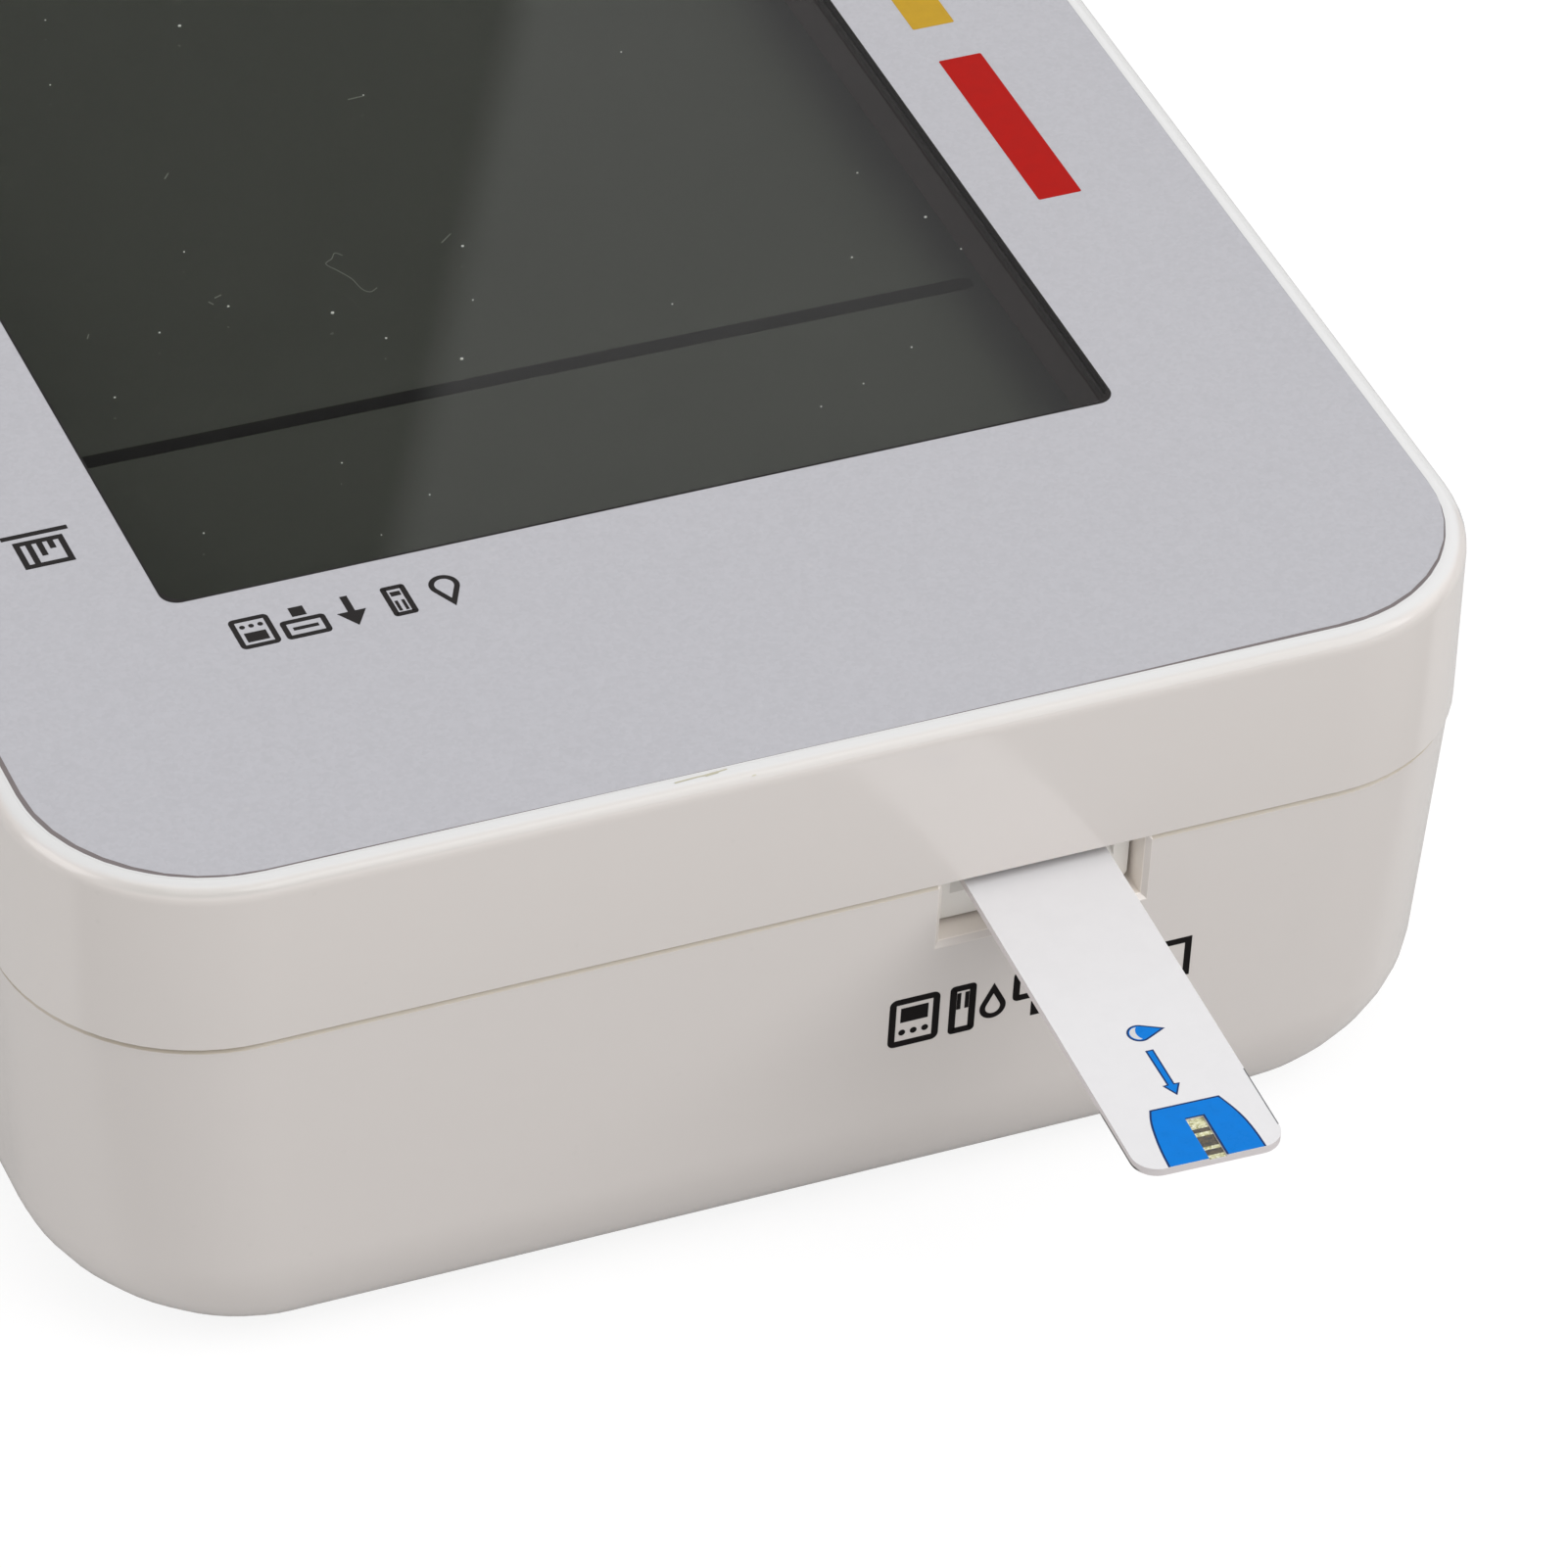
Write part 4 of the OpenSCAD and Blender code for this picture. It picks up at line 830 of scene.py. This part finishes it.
RIGHT, LEFT = (1, 0, 0), (-1, 0, 0)
AWAY, UP = (0, 1, 0), (0, 0, 1)
printed_row("panel_signs", [sign_drop, sign_strip, sign_arrow, sign_slot, sign_meter], 2.2,
            RIGHT, AWAY, [(11.5 + 2.35*i, 43.9, PANEL_Z) for i in range(5)])
printed_row("measure_signs", [sign_levels, sign_drop], 2.9, RIGHT, AWAY,
            [(28.0 + 3.4*i, 35.05, PANEL_Z) for i in range(2)])

# -------- printing under the strip port
printed_row("port_signs", [sign_meter, sign_dose, sign_slot, sign_arrow, sign_opening], 2.9,
            LEFT, UP, [(-5.58 - 3.23*i, WALL_Y, 12.0) for i in range(5)])


# -------- the window and the display
def window_border():
    """The thin dark line where the window meets the panel."""
    shape = bmesh.new()
    outer = rounded(*WINDOW_X, *WINDOW_Y, 0.7*WINDOW_R, 10)
    inner = rounded(*WINDOW_X, *WINDOW_Y, WINDOW_R, 10)
    add_ring(shape, offset(outer, 0.03), offset(inner, -0.09))
    return laid("window_border", shape, "ink")


def display_divider():
    """The dark line between the display's two fields, a little out of square."""
    shape = bmesh.new()
    add_patch(shape, [(24.07, 24.60), (24.07, 25.50), (-22.6, 25.98), (-23.1, 25.85),
                      (-23.1, 25.25), (-22.6, 25.06)], 0.02)
    return laid("display_divider", shape, "line", CELL_Z)


PANEL_EDGE = (-35.0, 35.0, -60.0, 60.0, 8.65)


def painted_gap_cover():
    """Painted light: a thin ring of the rim's plastic laid over the gap round the panel, which
    hides the gap's shade.
    """
    shape = bmesh.new()
    edge = rounded(*PANEL_EDGE, 14)
    add_ring(shape, offset(edge, 0.08), offset(edge, -0.03))
    return laid("painted_gap_cover", shape, "upper")


def panel_gap_shadow():
    """Painted shadow: the dark line of shade along the panel's edge, of uneven width and closed at
    the user's left.
    """
    right, top, r = PANEL_EDGE[1], PANEL_EDGE[3], PANEL_EDGE[4]
    path = [((x, -top), (0, -1), 0.08) for x in (-26.0, 0.0, 20.0)]

    def add_corner(side_x, side_y, turns):
        """Runs round a corner: for each turn, in degrees, the line's width there."""
        for turn, width in turns:
            way = heading(turn)
            path.append(((side_x*(right - r) + r*way[0], side_y*(top - r) + r*way[1]),
                         way, width))

    add_corner(1, -1, [(turn, 0.24 + turn*0.0016) for turn in range(-90, 1, 10)])
    add_corner(1, 1, [(0, 0.24), (10, 0.24), (20, 0.25), (30, 0.25), (40, 0.25), (50, 0.23),
                      (60, 0.18), (70, 0.14), (80, 0.12), (90, 0.10)])
    path += [((x, top), (0, 1), width) for x, width in
             [(22, 0.08), (16, 0.05), (12, 0.03), (2, 0.02), (-4, 0.03), (-8, 0.05),
              (-14, 0.08), (-18, 0.12), (-22, 0.17), (-25, 0.20)]]
    add_corner(-1, 1, [(90, 0.20), (100, 0.20), (110, 0.20), (120, 0.18), (130, 0.17),
                       (140, 0.13), (150, 0.08), (160, 0.04), (168, 0.01)])
    beside_rim = 0.035
    sides = [[(at[0] - way[0]*(beside_rim + share*width), at[1] - way[1]*(beside_rim + share*width))
              for at, way, width in path] for share in (0.0, 1.0)]
    shape = bmesh.new()
    add_ring(shape, *sides, thickness=0.8*INK, closed=False)
    return laid("panel_gap_shadow", shape, "gap")


window_border()
display_divider()
painted_gap_cover()
panel_gap_shadow()


# -------- lint on the window
def rods_on_window():
    """Short straight fibres of lint lying on the window."""
    shape = bmesh.new()
    width, height = 0.045, 0.03
    rods = [(12.7, 9.3, 0.5, 50), (1.72, 18.44, 0.85, 39), (-16.2, 26.3, 0.3, 10),
            (20.6, 20.3, 0.35, 60), (13.7, 19.3, 0.4, 20), (14.2, 19.7, 0.3, 120),
            (1.7, 6.13, 0.85, 3)]
    for x, y, length, turn in rods:
        made = bmesh.ops.create_cube(shape, size=1.0)["verts"]
        bmesh.ops.scale(shape, verts=made, vec=(length, width, height))
        bmesh.ops.rotate(shape, verts=made, matrix=Matrix.Rotation(math.radians(turn), 3, "Z"))
        bmesh.ops.translate(shape, verts=made, vec=(x, y, PANEL_Z + height/2))
    return finished("window_rods", shape, "fibre", "case")


def grains_on_window():
    """Specks of dust on the window."""
    shape = bmesh.new()
    grains = [(7.8, -2.4, 0.1), (1.2, 19.3, 0.09), (4.5, 27.7, 0.1), (9.0, 22.3, 0.1),
              (7.3, 25.0, 0.07), (21.0, 25.2, 0.06), (13.5, 20.2, 0.07), (-21.5, 27.3, 0.06),
              (-19.2, 19.9, 0.06), (17.3, 21.1, 0.06), (13.9, -5.0, 0.05), (2.3, 23.5, 0.05),
              (-16.1, 33.8, 0.06), (20.6, 36.3, 0.06), (-12.8, 35.7, 0.05), (9.7, 37.0, 0.05),
              (14.0, 15.4, 0.05), (12.9, 39.1, 0.04), (-6.6, 26.9, 0.05), (-10.2, 36.7, 0.05),
              (12.7, 33.4, 0.05), (-12.1, 6.7, 0.05), (15.5, 0.3, 0.05), (-20.9, 24.35, 0.09),
              (-16.23, 26.22, 0.06), (1.28, 6.05, 0.05)]
    for x, y, size in grains:
        made = bmesh.ops.create_icosphere(shape, subdivisions=1, radius=size)["verts"]
        bmesh.ops.scale(shape, verts=made, vec=(1.0, 0.8, 0.5))
        bmesh.ops.translate(shape, verts=made, vec=(x, y, PANEL_Z + 0.3*size))
    return finished("window_grains", shape, "fluff", "case", smooth=True)


def curled_fibre():
    """A fine fibre that lies curled up on the window."""
    shape = bmesh.new()
    path = flowing([(6.93, 18.12), (7.21, 17.83), (7.5, 18.2), (7.92, 18.52), (7.6, 19.15),
                    (7.35, 19.63), (7.15, 20.1), (7.0, 20.95), (6.7, 21.3), (6.28, 21.1)])
    add_patch(shape, along(path, 0.035), 0.02)
    return laid("window_fibre", shape, "fibre")


rods_on_window()
grains_on_window()
curled_fibre()


# -------- scuffs on the rim
def rim_scuffs():
    """Faint brown streaks on the rim near the port's end, laid over its rounding."""
    rim_y, rim_round = 61.0, 0.8
    shape = bmesh.new()
    for path, width in (([(6.9, 60.30), (6.2, 60.26), (5.6, 60.24), (5.2, 60.26), (4.7, 60.20),
                          (4.3, 60.16)], 0.07),
                        ([(5.4, 60.27), (5.05, 60.24), (4.75, 60.22)], 0.13),
                        ([(3.32, 60.80), (3.1, 60.78)], 0.12)):
        add_patch(shape, along(flowing(path, 3), width))
    for v in shape.verts:
        over = max(0.0, v.co.y - rim_y + rim_round)
        v.co.z += PANEL_Z - rim_round + math.sqrt(rim_round**2 - over**2)
    return finished("rim_scuffs", shape, "dirt", "case")


rim_scuffs()


# -------- printing on the test strip
def on_strip(shape):
    """Moves a shape drawn flat, with y out of the port, to the strip's upper face."""
    turn = Matrix.Rotation(math.radians(-STRIP_SKEW), 4, "Z")
    place = Matrix.Translation((STRIP_X, STRIP_Y, STRIP_TOP))
    bmesh.ops.transform(shape, matrix=place @ turn, verts=shape.verts)


def strip_patch(name, outlines, finish, thickness=INK, lower=0.0):
    """Ink on the strip: outlines with x to the user's right and y out of the port."""
    shape = bmesh.new()
    for outline in outlines:
        add_patch(shape, outline, thickness)
    bmesh.ops.translate(shape, verts=shape.verts, vec=(0, 0, -lower))
    on_strip(shape)
    return finished(name, shape, finish, "strip")


def with_line(name, outer, inner, finish):
    """A coloured patch on a slightly larger navy one."""
    strip_patch(name + "_line", [outer], "navy", 0.5*INK)
    strip_patch(name, [inner], finish, 0.8*INK)


def cut_film(name, node, finish, shorter=0.33, beyond=19.5):
    """A film of the strip as its node has it, with the corners that lie further than this
    beyond the port moved back."""
    shape = bmesh.new()
    shape.from_mesh(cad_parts[node].data)
    bmesh.ops.remove_doubles(shape, verts=shape.verts, dist=1e-7)
    bmesh.ops.scale(shape, vec=(1/MM, 1/MM, 1/MM), verts=shape.verts)
    skew = math.radians(STRIP_SKEW)
    out, mouth = Vector((math.sin(skew), math.cos(skew), 0.0)), Vector((STRIP_X, STRIP_Y, 0.0))
    end = [v for v in shape.verts if (v.co - mouth).dot(out) > beyond]
    bmesh.ops.translate(shape, verts=end, vec=-shorter*out)
    film = finished(name, shape, finish, "strip")
    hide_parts(node)
    smooth_by_angle(film)


cut_film("strip_base_film", "strip_base", "strip_base")
cut_film("strip_cover_film", "strip_cover", "strip_cover")
CUT_X = (-0.57, 0.29)
CUT_Y = (18.0, 21.1)
ZONE_Y = (16.95, 20.75)
left_edge = flowing([(1.61, ZONE_Y[0]), (1.89, 17.75), (2.08, 18.75), (2.2, 19.75),
                     (2.26, ZONE_Y[1])], 4)
right_edge = flowing([(-2.49, ZONE_Y[1]), (-2.45, 19.75), (-2.33, 18.75), (-2.11, 17.88),
                      (-1.775, ZONE_Y[0])], 4)


def zone_outline(inset):
    """The printed zone round the cut, drawn in by this much but for its lower edge."""
    top = ZONE_Y[0] + inset
    return ([(CUT_X[1], ZONE_Y[1])] + [(x - inset, max(y, top)) for x, y in left_edge[::-1]]
            + [(x + inset, max(y, top)) for x, y in right_edge[::-1]]
            + [(CUT_X[0], ZONE_Y[1]), (CUT_X[0], CUT_Y[0]), (CUT_X[1], CUT_Y[0])])


with_line("strip_blue_zone", zone_outline(0.0), zone_outline(0.10), "blue")
arrow = [(0.225, 13.15), (-0.175, 13.15), (-0.19, 15.58), (-0.45, 15.6), (-0.01, 16.375),
         (0.41, 15.6), (0.175, 15.58)]
with_line("strip_arrow", arrow, offset(arrow, -0.08), "blue")
drop = [(-1.03*y + 0.01, x + 11.93) for x, y in drop_points(0.56, 30)]
with_line("strip_drop", drop, offset(drop, -0.09), "blue")
strip_patch("strip_drop_shine", [circle_points(0.43, 14, 0.02, 11.93, -75.0, 150.0)
                                 + circle_points(0.62, 10, -0.46, 11.93, 42.0, -84.0)], "white")
strip_patch("strip_cut_shade", [bar(CUT_X[0] - 0.10, CUT_X[0], CUT_Y[0] - 0.07, ZONE_Y[1]),
                                bar(CUT_X[0], CUT_X[1], CUT_Y[0] - 0.07, CUT_Y[0])], "navy")
strip_patch("strip_far_edge", [bar(-3.595, -3.545, 15.6, 19.55)], "grey_ink")
strip_patch("strip_reagent", [bar(CUT_X[0] + 0.01, CUT_X[1] - 0.01, CUT_Y[0] + 0.01, 20.73)],
            "reagent", 0.02, STRIP_TOP - STRIP_CUT_Z)


# -------- printing on the keys
def key_sign(name, sign, x, size, body, radius):
    """A pictogram that follows the crown of its key."""
    bend = (radius*radius + KEY_CROWN*KEY_CROWN)/(2*KEY_CROWN)
    shape = bmesh.new()
    sign(shape)
    bmesh.ops.scale(shape, verts=shape.verts, vec=(size, size, 1.0))
    bmesh.ops.subdivide_edges(shape, edges=shape.edges, cuts=2, use_grid_fill=True)
    for v in shape.verts:
        drop = bend - math.sqrt(bend*bend - v.co.x**2 - v.co.y**2)
        v.co.z = KEY_TOP + min(v.co.z - drop, 0.0)
    bmesh.ops.translate(shape, verts=shape.verts, vec=(x, KEY_Y, 0.0))
    return finished(name, shape, "grey_ink", body)


key_sign("main_key_sign", sign_power, 0.0, 5.0, "main_button", 7.0)
key_sign("left_key_sign", sign_list, -17.0, 4.0, "left_button", 5.0)
key_sign("right_key_sign", sign_chevrons, 17.0, 4.0, "right_button", 5.0)


# -------- studio
def stage_plane(name, size, at, finish, turn=None):
    shape = bmesh.new()
    bmesh.ops.create_grid(shape, x_segments=1, y_segments=1, size=0.5)
    bmesh.ops.scale(shape, verts=shape.verts, vec=(size[0], size[1], 1.0))
    data = mesh_from(name, shape)
    data.materials.append(finish)
    plane = new_object(name, data)
    plane.matrix_world = Matrix.Translation(at) @ (turn or Matrix.Identity(4))
    return plane


def white_floor():
    """White paper that stays white to the camera, but for the object's own shadow."""
    material, n, shader = begin("white_paper", Roughness=0.9, Specular_IOR_Level=0.0)
    grain = n.noise(n.place(), 900.0)
    rays = n.add("ShaderNodeLightPath").outputs
    paper = n.blend(grain, rgba(0.93, 0.93, 0.93), rgba(0.96, 0.96, 0.96))
    paper = n.blend(rays["Is Diffuse Ray"], paper, rgba(0.68, 0.68, 0.68))
    # the housing mirrors a dark patch before the port and pale paper elsewhere
    patch = n.ramp(n.axes(n.place())[1], 58.0, 64.0)
    mirrored = n.blend(patch, rgba(0.65, 0.65, 0.65), rgba(0.15, 0.15, 0.15))
    n.feed(shader.inputs["Base Color"], n.blend(rays["Is Glossy Ray"], paper, mirrored))
    glow = n.add("ShaderNodeEmission", {"Color": rgba(1, 1, 1), "Strength": 1.06})
    share = n.math("ADD", n.math("MULTIPLY", rays["Is Camera Ray"], 0.8),
                   n.math("MULTIPLY", rays["Is Transmission Ray"], 0.2), clamp=True)
    mix_in(n, shader, share, glow)
    return material


def card_paper():
    """Grey card with a soft dark half: the studio as the window mirrors it."""
    material, n, shader = begin("studio_card", Roughness=1.0)
    x, y, _ = n.axes(n.place())
    shade = n.math("ADD", n.span(x, -0.0030, 0.0030, 0.006, 0.270),
                   n.span(y, 0.045, -0.045, 0.0, 0.080, smooth=False))
    n.feed(shader.inputs["Base Color"], rgba(0, 0, 0))
    shader.inputs["Emission Strength"].default_value = 1.0
    n.feed(shader.inputs["Emission Color"], shade)
    return material


def window_mirror(n):
    """How much of the world is left on rays that come straight off the bare window."""
    rays = n.add("ShaderNodeLightPath").outputs
    off_window = n.both(rays["Is Singular Ray"], n.math("LESS_THAN", rays["Diffuse Depth"], 0.5),
                        n.math("GREATER_THAN", rays["Glossy Depth"], 0.5))
    return n.span(off_window, 0.0, 1.0, 1.0, 0.1)


def light_studio():
    world = bpy.data.worlds.new("studio")
    bpy.context.scene.world = world
    world.use_nodes = True
    n = Nodes(world.node_tree)
    rays = n.add("ShaderNodeLightPath").outputs
    seen = n.math("MAXIMUM", rays["Is Camera Ray"], rays["Is Transmission Ray"])
    seen = n.math("MULTIPLY", seen, n.math("LESS_THAN", rays["Diffuse Depth"], 0.5))
    # glossy faces mirror a bright ceiling, brightest on the user's left
    way = n.axes(n.add("ShaderNodeTexCoord").outputs["Generated"])
    ceiling = n.math("MULTIPLY", n.span(way[2], 0.15, 0.5),
                     n.span(way[0], -0.15, -0.50, 0.55, 1.30))
    mirrored = n.math("MULTIPLY", rays["Is Glossy Ray"], ceiling)
    ground = world.node_tree.nodes["Background"]
    n.feed(ground.inputs["Color"], rgba(1, 1, 1))
    # the user's right gets a little less of it
    dim = n.both(n.span(way[0], 0.0, 0.8, 0.0, 0.12), n.math("SUBTRACT", 1.0, seen))
    strength = n.math("SUBTRACT", n.math("ADD", n.math("MULTIPLY", seen, 0.40), 0.60), dim)
    strength = n.math("ADD", strength, mirrored)
    n.feed(ground.inputs["Strength"], n.math("MULTIPLY", strength, window_mirror(n)))

    def softbox(name, turned, raised, away, power, size):
        """A softbox this far off, turned from the port's end to the user's right, and raised."""
        turned, raised = math.radians(turned), math.radians(raised)
        data = bpy.data.lights.new(name, "AREA")
        data.shape = "SQUARE"
        data.size = size
        data.energy = power
        light = new_object(name, data)
        aim = Vector((0.0, 0.03, 0.02))
        way = Vector((math.sin(turned)*math.cos(raised), math.cos(turned)*math.cos(raised),
                      math.sin(raised)))
        light.location = aim + away*way
        light.rotation_euler = way.to_track_quat("Z", "Y").to_euler()

    softbox("port_side_softbox", -40.0, 42.0, 1.0, 3.9, 0.8)
    softbox("right_side_softbox", 97.0, 30.0, 1.0, 1.9, 0.6)
    softbox("overhead_softbox", 0.0, 74.5, 0.93, 2.0, 0.8)


def place_camera():
    """Looks at the strip port's end from the user's right, far off with a long lens."""
    data = bpy.data.cameras.new("camera")
    data.sensor_width = 36.0
    data.sensor_fit = "HORIZONTAL"
    data.lens = 216.94
    data.clip_start = 0.02
    data.clip_end = 20.0
    camera = new_object("camera", data)
    right = Vector((-0.92149, 0.38535, 0.04857))
    up = Vector((-0.21033, -0.60023, 0.77168))
    back = right.cross(up)
    turn = Matrix((right, up, back)).transposed().to_4x4()
    camera.matrix_world = Matrix.Translation((0.140746, 0.359209, 0.298027)) @ turn
    bpy.context.scene.camera = camera


stage_plane("floor", (6.0, 6.0), (0, 0, -0.0002), white_floor())
light_studio()
place_camera()
bpy.context.scene.view_settings.view_transform = "Standard"


def studio_card():
    """A card that only the window mirrors, with its soft edge across the display."""
    camera_mirrored = Vector((140.746, 359.209, 2*PANEL_Z - 298.027))*MM
    middle = Vector((0.9, 19.0, PANEL_Z))*MM
    away = (middle - camera_mirrored).normalized()
    at = middle + 0.6*away

    def on_card(x, y):
        """The place on the card that shows in the window at x and y."""
        ray = Vector((x, y, PANEL_Z))*MM - camera_mirrored
        return camera_mirrored + ray*((at - camera_mirrored).dot(away)/ray.dot(away))

    edge = (on_card(10.99, 37.4) - on_card(-9.14, 0.7)).normalized()
    across = away.cross(edge).normalized()
    turn = Matrix((across, edge, across.cross(edge))).transposed().to_4x4()
    card = stage_plane("studio_card", (2.0, 2.0), at, card_paper(), turn)
    to_card = card.matrix_world.inverted()
    middle_y, half_x, half_y = 6.0, 27.0, 38.0
    for corner in card.data.vertices:
        corner.co = to_card @ on_card(math.copysign(half_x, corner.co.x),
                                      middle_y + math.copysign(half_y, corner.co.y))
    card.visible_camera = False
    card.visible_diffuse = False
    card.visible_shadow = False


studio_card()
